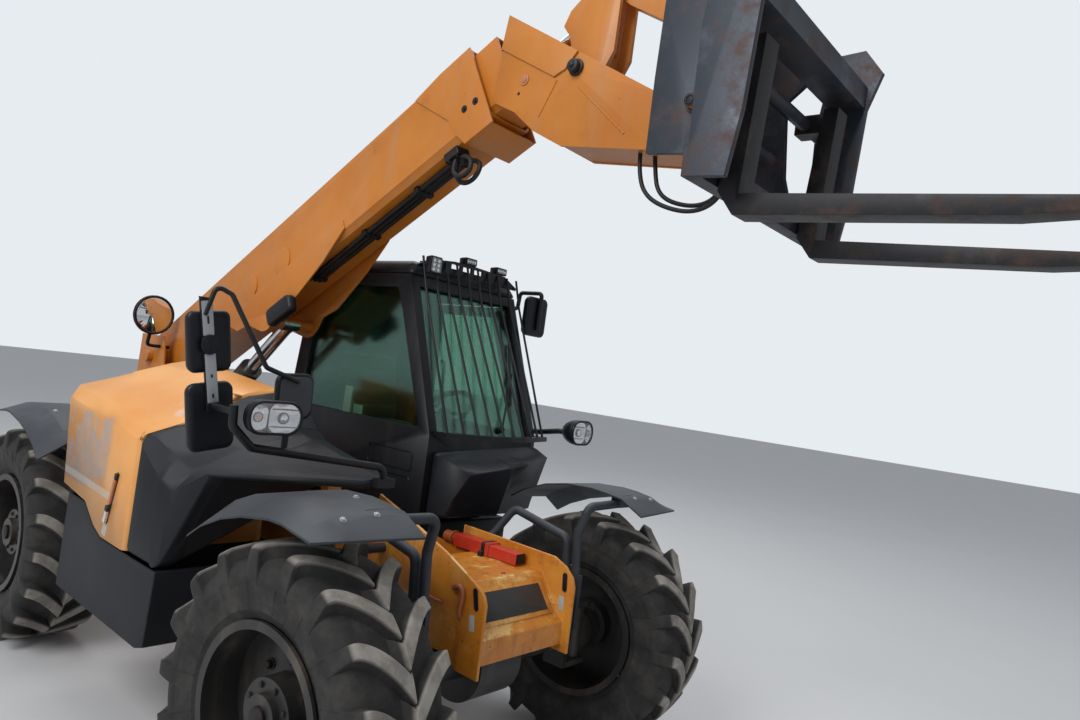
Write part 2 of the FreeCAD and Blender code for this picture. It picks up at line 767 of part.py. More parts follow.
def counterweight():
    block = plate(
        "counterweight_block",
        (
            (d.frame_rear - d.small_gap, d.weight_low),
            (d.frame_rear - d.small_gap, d.weight_top),
            (d.weight_rear + 40, d.weight_top),
            (d.weight_rear, d.weight_top - 60),
            (d.weight_rear, d.weight_low + 90),
            (d.weight_rear + 50, d.weight_low),
        ),
        0,
        2 * d.weight_half,
    )
    hitch = box(
        "hitch_block",
        (d.weight_rear + 2, -55, d.weight_low - 90),
        (d.frame_rear - 10, 55, d.weight_low + 10),
    )
    jaw = box(
        "hitch_jaw",
        (d.weight_rear - 10, -70, d.weight_low - 65),
        (d.weight_rear + 75, 70, d.weight_low - 25),
    )
    pin = rod(
        "hitch_bore",
        Z_AXIS,
        (d.weight_rear + 38, 0, d.weight_low - 100),
        100,
        d.hitch_radius,
    )
    body = cut("counterweight_jaw", fuse("counterweight_solid", [block, hitch]), [jaw, pin])
    finish("counterweight", body, machine)


chassis_frame()
nose_frame()
safety_strut()
counterweight()


def engine():
    block = box(
        "engine_body",
        (d.engine_rear, d.engine_outer, d.engine_low),
        (d.engine_front, d.engine_inner, d.engine_top),
    )
    mount = box(
        "engine_mount",
        (d.engine_rear + 100, d.engine_inner - 5, d.engine_low + 100),
        (d.engine_front - 100, -d.frame_half - d.small_gap, d.engine_low + 160),
    )
    finish("engine_block", fuse("engine", [block, mount]), machine)


def engine_skirt():
    """The open-topped tray around the engine, whose top edge follows the bonnet's foot."""
    rim = [(x, z - d.seam_gap) for x, z in reversed(bonnet_foot_line()) if float(x) > float(d.pod_rear)]
    outline = (
        (d.pod_rear, d.skirt_low + 13),
        (-1000, d.skirt_low),
        (d.pod_front, d.skirt_low + 25),
        (d.pod_front + 18, d.bonnet_foot - 40),
        (d.pod_front + 18, d.bonnet_foot - d.seam_gap),
        *rim,
        (d.pod_rear, 990),
    )
    middle = (d.pod_outer + d.pod_inner) / 2
    outer = plate("skirt_outer", outline, middle, d.pod_inner - d.pod_outer)
    wall = d.skirt_wall
    hollow = plate(
        "skirt_hollow",
        (
            (d.pod_rear + wall, d.skirt_low + 13 + wall),
            (-1000 - wall, d.skirt_low + wall),
            (d.pod_front - wall, d.skirt_low + 25 + wall),
            (d.pod_front - wall, 1100),
            (d.pod_rear + wall, 1100),
        ),
        middle,
        d.pod_inner - d.pod_outer - 2 * wall,
    )
    slot = box(
        "skirt_slot",
        (d.engine_rear + 60, d.pod_inner - 2 * wall, d.engine_low + 60),
        (d.engine_front - 60, d.pod_inner + wall, 1100),
    )
    finish("engine_skirt", cut("engine_skirt", outer, [hollow, slot]), machine)


# The bonnet's cross section. Each row: place across the machine, then the height at the rear edge
# and at the front edge.
BONNET_CROSS = (
    (-400, 1738, 1665),
    (-586, 1690, 1613),
    (-860, 1592, 1469),
    (-1038, 1537, 1410),
    (-1080, 1465, 1370),
)


def bonnet_foot_line():
    """The bonnet's lower edge from the rear to the front, stepped down where its latch is."""
    return (
        (d.bonnet_rear_low, 1029),
        (-1740, 990),
        (-1600, 900),
        (-1500, d.bonnet_foot + 4),
        (d.bonnet_front, d.bonnet_foot),
    )


def bonnet_section(foot_x, foot_z, inset, end_x=None):
    """One cross section of the bonnet, drawn in by an inset. Its top may stand behind its foot."""
    rear_low, front = float(d.bonnet_rear_low), float(d.bonnet_front)
    foot_x = float(foot_x)
    share = (foot_x - rear_low) / (front - rear_low)
    inner, outer = float(d.bonnet_inner) - inset, float(d.pod_outer) + inset
    spots = []
    for y, rear_z, front_z in BONNET_CROSS:
        across = max(y, outer) if y < -1000 else min(y, inner)
        spots.append((across, rear_z + (front_z - rear_z) * share - inset))
    low = float(foot_z) - 5 * inset
    spots += [(outer, low), (inner, low)]
    rise = spots[0][1] - low
    lean = 0 if end_x is None else float(end_x) - foot_x
    return [(foot_x + lean * (z - low) / rise, y, z) for y, z in spots]


def bonnet():
    """A lid over the engine, hollow below and open towards the chassis."""
    wall = float(d.bonnet_wall)
    line = bonnet_foot_line()
    solids = []
    for name, inset in (("bonnet_outer", 0), ("bonnet_hollow", wall)):
        sections = [bonnet_section(line[0][0] + inset, line[0][1], inset, d.bonnet_rear + inset)]
        sections += [bonnet_section(x, z, inset) for x, z in line[1:-1]]
        sections.append(bonnet_section(line[-1][0] - inset, line[-1][1], inset))
        solids.append(loft(name, sections))
    open_side = box(
        "bonnet_open_side",
        (d.bonnet_rear_low + 2 * wall, d.bonnet_inner - 2 * wall, 700),
        (d.bonnet_front - wall, d.bonnet_inner + wall, d.hinge_z - 100),
    )
    lid = cut("bonnet_lid", solids[0], [solids[1], open_side])
    barrels = []
    wires = []
    for number, x in enumerate(BONNET_HINGES):
        start = x - 15 + d.small_gap
        length = 30 - 2 * d.small_gap
        barrels.append(
            box(
                "bonnet_leaf_%d" % number,
                (start, d.bonnet_inner - d.bonnet_wall / 2, d.hinge_z - 8),
                (start + length, d.hinge_y, d.hinge_z + 8),
            )
        )
        barrels.append(
            rod(
                "bonnet_barrel_%d" % number,
                X_AXIS,
                (start, d.hinge_y, d.hinge_z),
                length,
                d.hinge_radius,
            )
        )
        wires.append(
            rod(
                "bonnet_eye_%d" % number,
                X_AXIS,
                (x - 25, d.hinge_y, d.hinge_z),
                50,
                d.hinge_pin + d.running_fit,
            )
        )
    joined = fuse("bonnet_joined", [lid] + barrels)
    finish("bonnet", cut("bonnet", joined, wires), machine)


def cowl():
    """The black cover from the bonnet's front forward over the wheel, drawn to a tip at the chassis."""
    inner, outer = float(d.cowl_inner), float(d.pod_outer)
    tip = float(d.cowl_tip_top)
    # Each row: place along the machine, then the corners (y, z) of the cross section.
    sections = (
        (
            d.bonnet_front + d.seam_gap,
            (
                (inner, 1250),
                (inner, 1662),
                (-586, 1608),
                (-860, 1464),
                (-1038, 1405),
                (outer, 1362),
                (outer, 862),
                (-1020, 862),
            ),
        ),
        (
            -985,
            (
                (inner, 1230),
                (inner, 1480),
                (-500, 1500),
                (-800, 1412),
                (-1010, 1330),
                (outer, 1240),
                (outer, 862),
                (-1020, 862),
            ),
        ),
        (
            -915,
            (
                (inner, 1225),
                (inner, 1440),
                (-460, 1474),
                (-750, 1392),
                (-970, 1285),
                (-1050, 1197),
                (-1072, 866),
                (-1015, 866),
            ),
        ),
        (
            -800,
            (
                (inner, 1240),
                (inner, 1415),
                (-450, 1452),
                (-700, 1370),
                (-880, 1330),
                (-955, 1303),
                (-955, 1285),
                (-900, 1275),
            ),
        ),
        (
            d.cowl_tip,
            (
                (inner, 1300),
                (inner, tip - 5),
                (-380, tip),
                (-410, tip),
                (-430, tip - 3),
                (-445, tip - 10),
                (-445, 1310),
                (-430, 1302),
            ),
        ),
    )
    outlines = [[(x, y, z) for y, z in corners] for x, corners in sections]
    finish("cowl", loft("cowl", outlines), machine)


engine()
engine_skirt()
bonnet()
cowl()


def tank():
    """The tank below the cab with two steps."""
    body = plate(
        "tank_body",
        (
            (d.tank_rear, d.tank_low + 30),
            (d.tank_front - 90, d.tank_low),
            (d.tank_front, d.tank_low + 120),
            (d.tank_front, d.tank_top),
            (d.tank_rear, d.tank_top),
        ),
        (d.tank_inner + d.tank_outer) / 2,
        d.tank_outer - d.tank_inner,
    )
    saddle = box(
        "tank_saddle",
        (d.tank_rear + 200, d.frame_half + d.small_gap, d.tank_low + 150),
        (d.tank_front - 200, d.tank_inner + 5, d.tank_low + 250),
    )
    steps = [
        box(
            "step_%d" % number,
            (d.tank_front - 560, d.tank_outer - 5, d.tank_low + rise),
            (d.tank_front - 160, d.tank_outer + d.step_reach, d.tank_low + rise + 30),
        )
        for number, rise in enumerate((40, 330))
    ]
    finish("side_tank", fuse("side_tank", [body, saddle] + steps), machine)


def cab_outline(inset):
    """The cab's side view, drawn in by an inset all round."""
    return (
        (d.cab_front - inset, d.cab_low + inset),
        (d.cab_front - inset, d.cab_sill),
        (d.cab_front_top - inset, d.cab_eaves - inset),
        (d.cab_rear_top + inset, d.cab_eaves - inset),
        (d.cab_rear + inset, d.cab_sill),
        (d.cab_rear + inset, d.cab_low + inset),
    )


def side_window(grow):
    """The right window's outline with its cut upper front corner."""
    sill = d.cab_sill + 25 - grow
    head = d.cab_eaves - d.cab_wall - 15 + grow
    return (
        (d.cab_front - d.cab_wall - 35 + grow, sill),
        (d.cab_front_top - 30 + grow, head - 130),
        (d.cab_front_top - 95 + grow, head),
        (d.cab_rear_top + 110 - grow, head),
        (d.cab_rear + 130 - grow, sill),
    )


def door_outline(gap):
    """The door's outline, drawn in by a gap from its opening."""
    return (
        (d.cab_front - d.cab_wall - gap, d.door_low + gap),
        (d.cab_front - d.cab_wall - gap, d.cab_sill),
        (d.cab_front_top - d.cab_wall - 10 - gap, d.cab_eaves - d.cab_wall - gap),
        (d.door_rear + gap, d.cab_eaves - d.cab_wall - gap),
        (d.door_rear + gap, d.door_low + gap),
    )


def cab():
    middle = (d.cab_right + d.cab_left) / 2
    width = d.cab_left - d.cab_right
    wall = d.cab_wall
    shell = plate("cab_block", cab_outline(0), middle, width)
    room = plate("cab_room", cab_outline(wall), middle, width - 2 * wall)
    right_opening = plate("cab_right_opening", side_window(0), d.cab_right, 3 * wall)
    door_opening = plate("cab_door_opening", door_outline(0), d.cab_left, 3 * wall)
    front_opening = box(
        "cab_front_opening",
        (d.cab_front_top - 2 * wall, d.cab_right + wall, d.cab_sill),
        (d.cab_front + wall, d.cab_left - wall, d.cab_eaves - wall),
    )
    rear_opening = box(
        "cab_rear_opening",
        (d.cab_rear - wall, d.cab_right + wall, d.cab_sill + 60),
        (d.cab_rear_top + 2 * wall, d.cab_left - wall, d.cab_eaves - wall),
    )
    roof_opening = box(
        "cab_roof_opening",
        (d.cab_rear_top + wall, d.cab_right + wall, d.cab_eaves - 2 * wall),
        (d.cab_front_top - wall, d.cab_left - wall, d.cab_eaves + wall),
    )
    openings = [room, right_opening, door_opening, front_opening, rear_opening, roof_opening]
    frame = cut("cab_frame", shell, openings)
    stand = box(
        "cab_stand",
        (d.cab_rear + 200, d.tank_inner + 60, d.tank_top + d.small_gap),
        (d.cab_front - 250, d.cab_left - 200, d.cab_low + 5),
    )
    ears = []
    for number, z in enumerate(DOOR_HINGES):
        for place in (z - 45, z + 25 + d.small_gap):
            ears.append(
                box(
                    "door_ear_%d_%d" % (number, float(place)),
                    (d.door_hinge_x - 60, d.cab_left - 4, place),
                    (d.door_hinge_x, d.door_hinge_y, place + 20 - d.small_gap),
                )
            )
            ears.append(
                rod(
                    "door_knuckle_%d_%d" % (number, int(float(place))),
                    Z_AXIS,
                    (d.door_hinge_x, d.door_hinge_y, place),
                    20 - d.small_gap,
                    d.hinge_radius - 2,
                )
            )
        ears.append(
            rod(
                "door_pin_%d" % number,
                Z_AXIS,
                (d.door_hinge_x, d.door_hinge_y, z - 45),
                90,
                d.hinge_pin,
            )
        )
    finish("cab_shell", fuse("cab_shell", [frame, stand] + ears), machine)
    low = d.cab_eaves + d.small_gap
    top = low + d.roof_height
    over = d.roof_overhang
    roof = loft(
        "cab_roof",
        (
            (
                (d.cab_rear_top - over, d.cab_right, low),
                (d.cab_front_top + over, d.cab_right, low),
                (d.cab_front_top + over, d.cab_left + over, low),
                (d.cab_rear_top - over, d.cab_left + over, low),
            ),
            (
                (d.cab_rear_top + 2 * over, d.cab_right + 2 * over, top),
                (d.cab_front_top - 2 * over, d.cab_right + 2 * over, top),
                (d.cab_front_top - 2 * over, d.cab_left - 2 * over, top),
                (d.cab_rear_top + 2 * over, d.cab_left - 2 * over, top),
            ),
        ),
    )
    finish("cab_roof", roof, machine)


def slanted_pane(name, foot_x, head_x, foot_z, head_z, right, left):
    """A pane across the cab from a foot to a head, as thick as the glass."""
    corners = (
        (foot_x, foot_z),
        (foot_x - d.glass, foot_z),
        (head_x - d.glass, head_z),
        (head_x, head_z),
    )
    return plate(name, corners, (right + left) / 2, left - right)


def cab_glass():
    right = d.cab_right + d.cab_wall
    left = d.cab_left - d.cab_wall
    inset = 22
    front = slanted_pane(
        "windscreen",
        d.cab_front - inset,
        d.cab_front_top - inset + (d.cab_front - d.cab_front_top) * 0.07,
        d.cab_sill,
        d.cab_eaves - d.cab_wall,
        right,
        left,
    )
    rear = slanted_pane(
        "rear_window",
        d.cab_rear + inset + 12,
        d.cab_rear_top + inset,
        d.cab_sill + 60,
        d.cab_eaves - d.cab_wall,
        right,
        left,
    )
    side = plate("right_window", side_window(0), d.cab_right + inset, d.glass)
    finish("cab_glass", fuse("cab_glass", [front, rear, side]), machine)


def cab_door():
    gap = d.seam_gap
    middle = d.cab_left - d.door_thickness / 2
    slab = plate("door_slab", door_outline(gap), middle, d.door_thickness)
    rail = d.door_rail
    upper = (
        (d.cab_front - d.cab_wall - gap - rail - 25, d.cab_sill + 30),
        (d.cab_front_top - d.cab_wall - 10 - gap - rail, d.cab_eaves - d.cab_wall - gap - rail),
        (d.door_rear + gap + rail, d.cab_eaves - d.cab_wall - gap - rail),
        (d.door_rear + gap + rail, d.cab_sill + 30),
    )
    lower = (
        (d.cab_front - d.cab_wall - gap - rail, d.door_low + gap + rail + 90),
        (d.cab_front - d.cab_wall - gap - rail, d.cab_sill - 50),
        (d.door_rear + gap + rail, d.cab_sill - 50),
        (d.door_rear + gap + rail, d.door_low + gap + rail + 90),
    )
    holes = [
        plate("door_upper_hole", upper, middle, 3 * d.door_thickness),
        plate("door_lower_hole", lower, middle, 3 * d.door_thickness),
    ]
    leaves = []
    for number, z in enumerate(DOOR_HINGES):
        low = z - 25 + d.small_gap
        length = 50 - 2 * d.small_gap
        leaves.append(
            box(
                "door_leaf_%d" % number,
                (d.door_hinge_x, d.cab_left + 1, low),
                (d.door_rear + 60, d.door_hinge_y - 4, low + length),
            )
        )
        leaves.append(
            box(
                "door_root_%d" % number,
                (d.door_rear + gap + 4, d.cab_left - 4, low),
                (d.door_rear + 60, d.cab_left + 3, low + length),
            )
        )
        leaves.append(
            rod(
                "door_barrel_%d" % number,
                Z_AXIS,
                (d.door_hinge_x, d.door_hinge_y, low),
                length,
                d.hinge_radius - 3.5,
            )
        )
        holes.append(
            rod(
                "door_eye_%d" % number,
                Z_AXIS,
                (d.door_hinge_x, d.door_hinge_y, z - 45),
                90,
                d.hinge_pin + d.running_fit,
            )
        )
    finish("cab_door", cut("cab_door", fuse("door_solid", [slab] + leaves), holes), machine)
    panes = [
        plate("door_upper_pane", upper, middle, d.glass),
        plate("door_lower_pane", lower, middle, d.glass),
    ]
    finish("door_glass", fuse("door_glass", panes), machine)


def cab_nose_panel():
    """The black panel that bulges forward below the windscreen."""
    seat = float(d.cab_front) + float(d.small_gap)
    low = float(d.cab_low) + 20
    # Each row: place across the machine, x of the bottom, knee and brow, then z of the brow and
    # of the top.
    rows = (
        (float(d.cab_right) + 40, -520, -490, -385, 1352, 1425),
        (560, -480, -450, -395, 1388, 1446),
        (680, -580, -560, -405, 1400, 1452),
        (float(d.cab_left) - 40, -620, -600, -535, 1425, 1472),
    )
    sections = []
    for y, foot_x, knee_x, brow_x, brow_z, top_z in rows:
        sections.append(
            (
                (seat, y, low),
                (foot_x, y, low + 20),
                (knee_x, y, 1200),
                (brow_x, y, brow_z),
                (seat + 40, y, top_z),
                (seat, y, top_z),
            )
        )
    finish("cab_nose_panel", loft("cab_nose_panel", sections), machine)


def windscreen_guard():
    """Upright bars in front of the windscreen, held by a bowed tray below and a frame above."""
    count = int(float(d.guard_bars))
    right, left = float(d.guard_right), float(d.guard_left)
    pitch = (left - right) / (count - 1)
    front = float(d.cab_front)
    head = float(d.cab_front_top)
    eaves = float(d.cab_eaves)
    sill = float(d.cab_sill)

    def bow(y):
        """How far the tray stands in front of the cab at a place across."""
        share = (2 * y - right - left) / (left - right)
        return front + 92 + 90 * (1 - share * share)

    bars = []
    for number in range(count):
        y = right + pitch * number
        places = (
            (bow(y), y, sill + 22),
            (head + 95, y, eaves - 70),
            (head + 35, y, eaves + 112),
        )
        bars.append(bent_tube("guard_bar_%d" % number, places, d.guard_bar, 60))
    spots = [right - 25 + (left - right + 50) * step / 6 for step in range(7)]
    front_line = [(bow(min(max(y, right), left)) + 16, y) for y in spots]
    rear_line = [(x - 42, y) for x, y in reversed(front_line)]
    tray = floor_plate("guard_tray", front_line + rear_line, sill + 15, 26)
    # The roof frame seen from the front: each row is a corner's place across and its height over the eaves.
    crest = (
        (right - 25, 62),
        (right + 60, 106),
        (right + 250, 129),
        (right + 430, 129),
        (right + 690, 119),
    )
    outline = ((right - 25, 50),) + crest + ((left + 10, 64), (left + 10, 50))
    frame = loft("guard_frame", [[(head + x, y, eaves + z) for y, z in outline] for x in (20, 34)])
    slots = [
        box(
            "guard_slot_%d" % number,
            (head, right + start, eaves + 84),
            (head + 50, right + start + 72, eaves + 112),
        )
        for number, start in enumerate((225, 320, 415))
    ]
    roof_frame = cut("guard_roof_frame", frame, slots)
    feet = []
    roof_top = d.cab_eaves + d.roof_height + 2 * d.small_gap
    for name, y, high_y in (("right", right - 20, right + 85), ("left", left - 10, left - 105)):
        feet.append(
            box(
                "guard_foot_" + name,
                (d.cab_front + d.small_gap, y, d.cab_sill + 4),
                (d.cab_front + 80, y + 30, d.cab_sill + 24),
            )
        )
        feet.append(
            box(
                "guard_head_" + name,
                (head - 90, high_y, roof_top),
                (head + 27, high_y + 30, roof_top + 14),
            )
        )
    finish("windscreen_guard", fuse("windscreen_guard", bars + [tray, roof_frame] + feet), machine)


def seat():
    half = d.seat_width / 2
    floor = d.cab_low + d.cab_wall
    base = box(
        "seat_box",
        (-1640, d.seat_middle - half + 60, floor + d.small_gap),
        (-1280, d.seat_middle + half - 60, floor + 250),
    )
    slide = box(
        "seat_slide",
        (-1680, d.seat_middle - half + 30, floor + 240),
        (-1240, d.seat_middle + half - 30, floor + 270),
    )
    finish("seat_base", fuse("seat_frame", [base, slide]), machine)
    squab = box(
        "seat_squab",
        (-1720, d.seat_middle - half, floor + 270 + d.small_gap),
        (-1220, d.seat_middle + half, floor + 390),
    )
    back = plate(
        "seat_back",
        (
            (-1720, floor + 330),
            (-1610, floor + 330),
            (-1700, floor + 790),
            (-1800, floor + 790),
        ),
        d.seat_middle,
        d.seat_width,
    )
    head = box(
        "seat_head",
        (-1810, d.seat_middle - half + 110, floor + 780),
        (-1720, d.seat_middle + half - 110, floor + 910),
    )
    finish("seat", fuse("seat_cushions", [squab, back, head]), machine)


def steering_column():
    floor = d.cab_low + d.cab_wall
    console = plate(
        "dash",
        (
            (-760, floor + d.small_gap),
            (d.cab_front - d.cab_wall - d.small_gap - 5, floor + d.small_gap),
            (d.cab_front - d.cab_wall - d.small_gap - 5, d.cab_sill - 20),
            (-860, d.cab_sill + 20),
            (-900, d.cab_sill - 80),
            (-790, d.cab_sill - 160),
        ),
        d.seat_middle,
        d.console_width,
    )
    places = ((-820, d.seat_middle, d.cab_sill - 40), (-960, d.seat_middle, d.cab_sill + 90))
    start, end = [point(place) for place in places]
    lean = (end - start).normalize()
    column = computed("column", Part.makeCylinder(28, (end - start).Length, start, lean))
    ring = Part.makeTorus(185, 15, end + lean * 15, lean)
    hub = Part.makeCylinder(40, 30, end, lean)
    across = lean.cross(Y_AXIS).normalize()
    spokes = []
    for direction in (Y_AXIS, across, Y_AXIS * -1):
        spokes.append(Part.makeCylinder(10, 185, end + lean * 15, direction))
    wheel = computed("hand_wheel", ring.fuse([hub] + spokes))
    finish("steering_column", fuse("steering_column", [console, column, wheel]), machine)


tank()
cab()
cab_glass()
cab_door()
cab_nose_panel()
windscreen_guard()
seat()
steering_column()


def mudguard(name, axle_x, way):
    """One sheet over a left wheel, flat inside and bent down along its outer edge.

    The tail end lies towards the machine's middle.
    """
    sheet_z = float(d.guard_sheet)
    inner, outer = float(d.guard_inner), float(d.guard_outer)
    crest = float(d.guard_crest)
    crease = outer - 130
    # Each row: x of the inner and of the outer edge, then how far each edge and the crease lie
    # below the crest.
    stations = (
        (-530, -520, 150, 158, 246),
        (-430, -428, 88, 96, 187),
        (-290, -290, 36, 44, 128),
        (-150, -150, 8, 14, 90),
        (20, 20, 0, 4, 62),
        (110, 105, 6, 8, 60),
        (215, 200, 18, 22, 72),
        (345, 283, 83, 83, 83),
    )
    sections = []
    for inner_x, outer_x, *drops in stations:
        crease_x = inner_x + (outer_x - inner_x) * (crease - inner) / (outer - inner)
        places = [float(axle_x) + way * x for x in (inner_x, crease_x, outer_x)]
        heights = [crest - drop for drop in drops]
        spots = list(zip(places, (inner, crease, outer), heights))
        under = [(x, y, z - sheet_z) for x, y, z in reversed(spots)]
        sections.append(spots + under)
    return loft(name + "_sheet", sections)


def mudguards(label, axle_x, way, root_y, root_z):
    """A pair of mudguards, each on two bent tubes from a post on the axle and a root on the chassis."""
    middle = float(axle_x)
    tube = float(d.guard_tube)
    post_y = 500
    under = float(d.guard_crest) - float(d.guard_sheet)
    axle_top = float(d.tyre_radius) + float(d.axle_radius)
    back_tube = (
        (middle + way * 90, post_y, 930),
        (middle + way * 70, post_y, 1120),
        (middle - way * 300, post_y, 1190),
        (middle - way * 370, 420, root_z),
        (middle - way * 370, root_y, root_z),
    )
    front_tube = (
        (middle + way * 150, post_y, 930),
        (middle + way * 130, post_y, 1150),
        (middle + way * 170, post_y + 10, under - 55),
        (middle + way * 130, float(d.guard_inner) + 230, under - 55),
    )
    pieces = [
        mudguard(label, axle_x, way),
        bent_tube(label + "_back_tube", back_tube, tube, 45),
        bent_tube(label + "_front_tube", front_tube, tube, 45),
    ]
    low_x, high_x = sorted((middle - way * 50, middle + way * 185))
    pieces.append(
        box(
            label + "_post",
            (low_x, post_y - 12, axle_top + 20),
            (high_x, post_y + 12, 960),
        ),
    )
    pieces.append(
        box(
            label + "_saddle",
            (middle - 50, post_y - 35, axle_top + d.small_gap),
            (middle + 50, post_y + 35, axle_top + 45),
        ),
    )
    pad_x, pad_y = middle + way * 145, float(d.guard_inner) + 60
    pieces.append(
        box(
            label + "_pad",
            (pad_x - 30, pad_y, under - 70),
            (pad_x + 30, pad_y + 90, under - 5.5),
        ),
    )
    side = fuse(label + "_left", pieces)
    finish(label, fuse(label, [side, mirrored(label + "_right", side)]), machine)


mudguards("mudguards_front", 0, 1, float(d.nose_half + d.small_gap), 1030)
mudguards("mudguards_rear", -d.wheelbase, -1, float(d.frame_half + d.small_gap), 940)


def mirror_arms():
    """Bent tubes that carry the mirrors and the head lamps on both sides."""
    tip = float(d.cowl_tip_top)
    gap = float(d.small_gap)
    side = float(d.cab_left) + gap
    tube = float(d.arm_tube)
    foot = box("arm_foot", (d.cowl_tip + gap, -430, tip - 35), (d.cowl_tip + 42, -330, tip + 5))
    stem = (
        (-335, -380, tip - 5),
        (-340, -400, 1405),
        (-370, -1030, 1478),
        (-370, -1120, 1560),
        (-370, -1125, 1640),
    )
    link = ((-370, -1125, 1612), (-470, -1115, 1612), (-576, -1105, 1612))
    loop = (
        (-570.5, -1190, 1965),
        (-566, -1160, 2088),
        (-550, -1100, 2062),
        (-470, -955, 1790),
        (-470, -800, 1745),
    )
    strip = loft(
        "arm_strip",
        [
            [(-582, low, z), (-570, low, z), (-570, low + 50, z), (-582, low + 50, z)]
            for low, z in ((-1125, 1600), (-1219, 2035))
        ],
    )
    lower = (
        (-740, side, 1560),
        (-740, 1110, 1560),
        (-700, 1110, 1562),
        (-540, 1100, 1590),
        (-470, 1100, 1590),
    )
    upper = (
        (-1050, side, 2330),
        (-1050, 1130, 2330),
        (-1050, 1140, 2440),
        (-862.3, 1140, 2440),
        (-862.3, 1140, 2200),
    )
    pieces = [
        foot,
        strip,
        bent_tube("arm_stem", stem, tube, 40),
        bent_tube("arm_link", link, tube * 0.8, 40),
        bent_tube("arm_loop", loop, tube * 0.6, 25),
        bent_tube("arm_lower", lower, tube, 25),
        bent_tube("arm_upper", upper, tube * 0.8, 25),
    ]
    finish("mirror_arms", fuse("mirror_arms", pieces), machine)


def rounded_block(name, rear_x, front_x, middle, half, high, lean, shrink):
    """A block with cut corners, full size in its middle and drawn in at one end or at both."""
    middle_y, middle_z = middle
    cut_y, cut_z = half * 0.3, high * 0.3
    ring = (
        (half, cut_z - high),
        (half, high - cut_z),
        (half - cut_y, high),
        (cut_y - half, high),
        (-half, high - cut_z),
        (-half, cut_z - high),
        (cut_y - half, -high),
        (half - cut_y, -high),
    )
    sections = []
    for share, size in shrink:
        x = rear_x + (front_x - rear_x) * share
        sections.append([(x, middle_y + y * size - z * size * lean, middle_z + z * size) for y, z in ring])
    return loft(name, sections)


def mirror_heads():
    heads = []
    gap = float(d.small_gap)
    # Each row: name, front face x, middle y, z, half width, half height, thickness, outward lean.
    for name, x, y, z, half, high, thick, lean in (
        ("upper", -582, -1152, 1865, 84, 114, 50, 0.17),
        ("lower", -582, -1094, 1567, 92, 135, 50, 0.17),
        ("inner", -480, -795, 1680, 90, 100, 40, 0.05),
        ("left", -876, 1140, 2285, 100, 130, 50, 0),
    ):
        front = x - gap
        shrink = ((0, 0.9), (0.5, 1), (1, 0.82))
        heads.append(
            rounded_block(
                "mirror_" + name,
                front - thick,
                front,
                (y, z),
                half,
                high,
                lean,
                shrink,
            ),
        )
    round_head = rod("mirror_round", X_AXIS, (-3060, -330, 1970), 30, 135)
    post = bent_tube(
        "mirror_post",
        ((-3080, -d.frame_half - d.small_gap, 1760), (-3080, -330, 1760), (-3045, -330, 1920)),
        12,
        25,
    )
    finish("mirror_heads", fuse("mirror_heads", heads + [round_head, post]), machine)


def lamps():
    pieces = []
    roof_top = float(d.cab_eaves) + float(d.roof_height)
    head = float(d.cab_front_top)
    # Each row: name, rear x, front x, middle y, z, half width, half height, sizes along the depth.
    for name, rear, front, y, z, half, high, shrink in (
        ("head_right", -425, -320, -978, 1604, 119, 69, ((0, 0.62), (0.6, 0.97), (1, 1))),
        ("head_left", -469.7, -360, 1083, 1604, 103, 75, ((0, 0.55), (0.6, 0.97), (1, 1))),
        ("roof_right", head + 78, head + 128, 238, roof_top - 22, 44, 50, ((0, 0.8), (1, 1))),
        ("roof_middle", head - 20, head + 40, 590, roof_top + 66.3, 50, 22, ((0, 1), (1, 1))),
        ("roof_left", head - 20, head + 40, 860, roof_top + 60, 50, 22, ((0, 1), (1, 1))),
    ):
        pieces.append(rounded_block("lamp_" + name, rear, front, (y, z), half, high, 0, shrink))
    stalk = box("lamp_stalk", (-374, -902, 1480.4), (-358, -880, 1570))
    bracket = box(
        "lamp_bracket",
        (head + 34 + d.small_gap, 233, roof_top - 36),
        (head + 90, 255, roof_top - 14),
    )
    finish("lamps", fuse("lamps", pieces + [stalk, bracket]), machine)


mirror_arms()
mirror_heads()
lamps()

# The boom's own frame: its origin is the boom pivot, its X runs along the boom and its Z square to it.
raised = turn_about_y(-float(d.boom_angle))
boom_place = FreeCAD.Placement(Vector(float(d.pivot_x) - middle_x, 0, float(d.pivot_z)), raised)


def along_boom(x, z):
    """A point given from the front axle, as its place along and above the boom's axis."""
    spot = Vector(float(x) - float(d.pivot_x), 0, float(z) - float(d.pivot_z))
    turned_back = raised.inverted().multVec(spot)
    return turned_back.x, turned_back.z


def boom_section(half, top, low, chamfer):
    """A boom's cross section with cut lower corners, as (y, z) corners."""
    return (
        (-half, top),
        (half, top),
        (half, low + chamfer),
        (half - chamfer, low),
        (chamfer - half, low),
        (-half, low + chamfer),
    )


def boom_prism(name, start, end, section):
    corners = [[(x, y, z) for y, z in section] for x in (float(start), float(end))]
    return loft(name, corners)


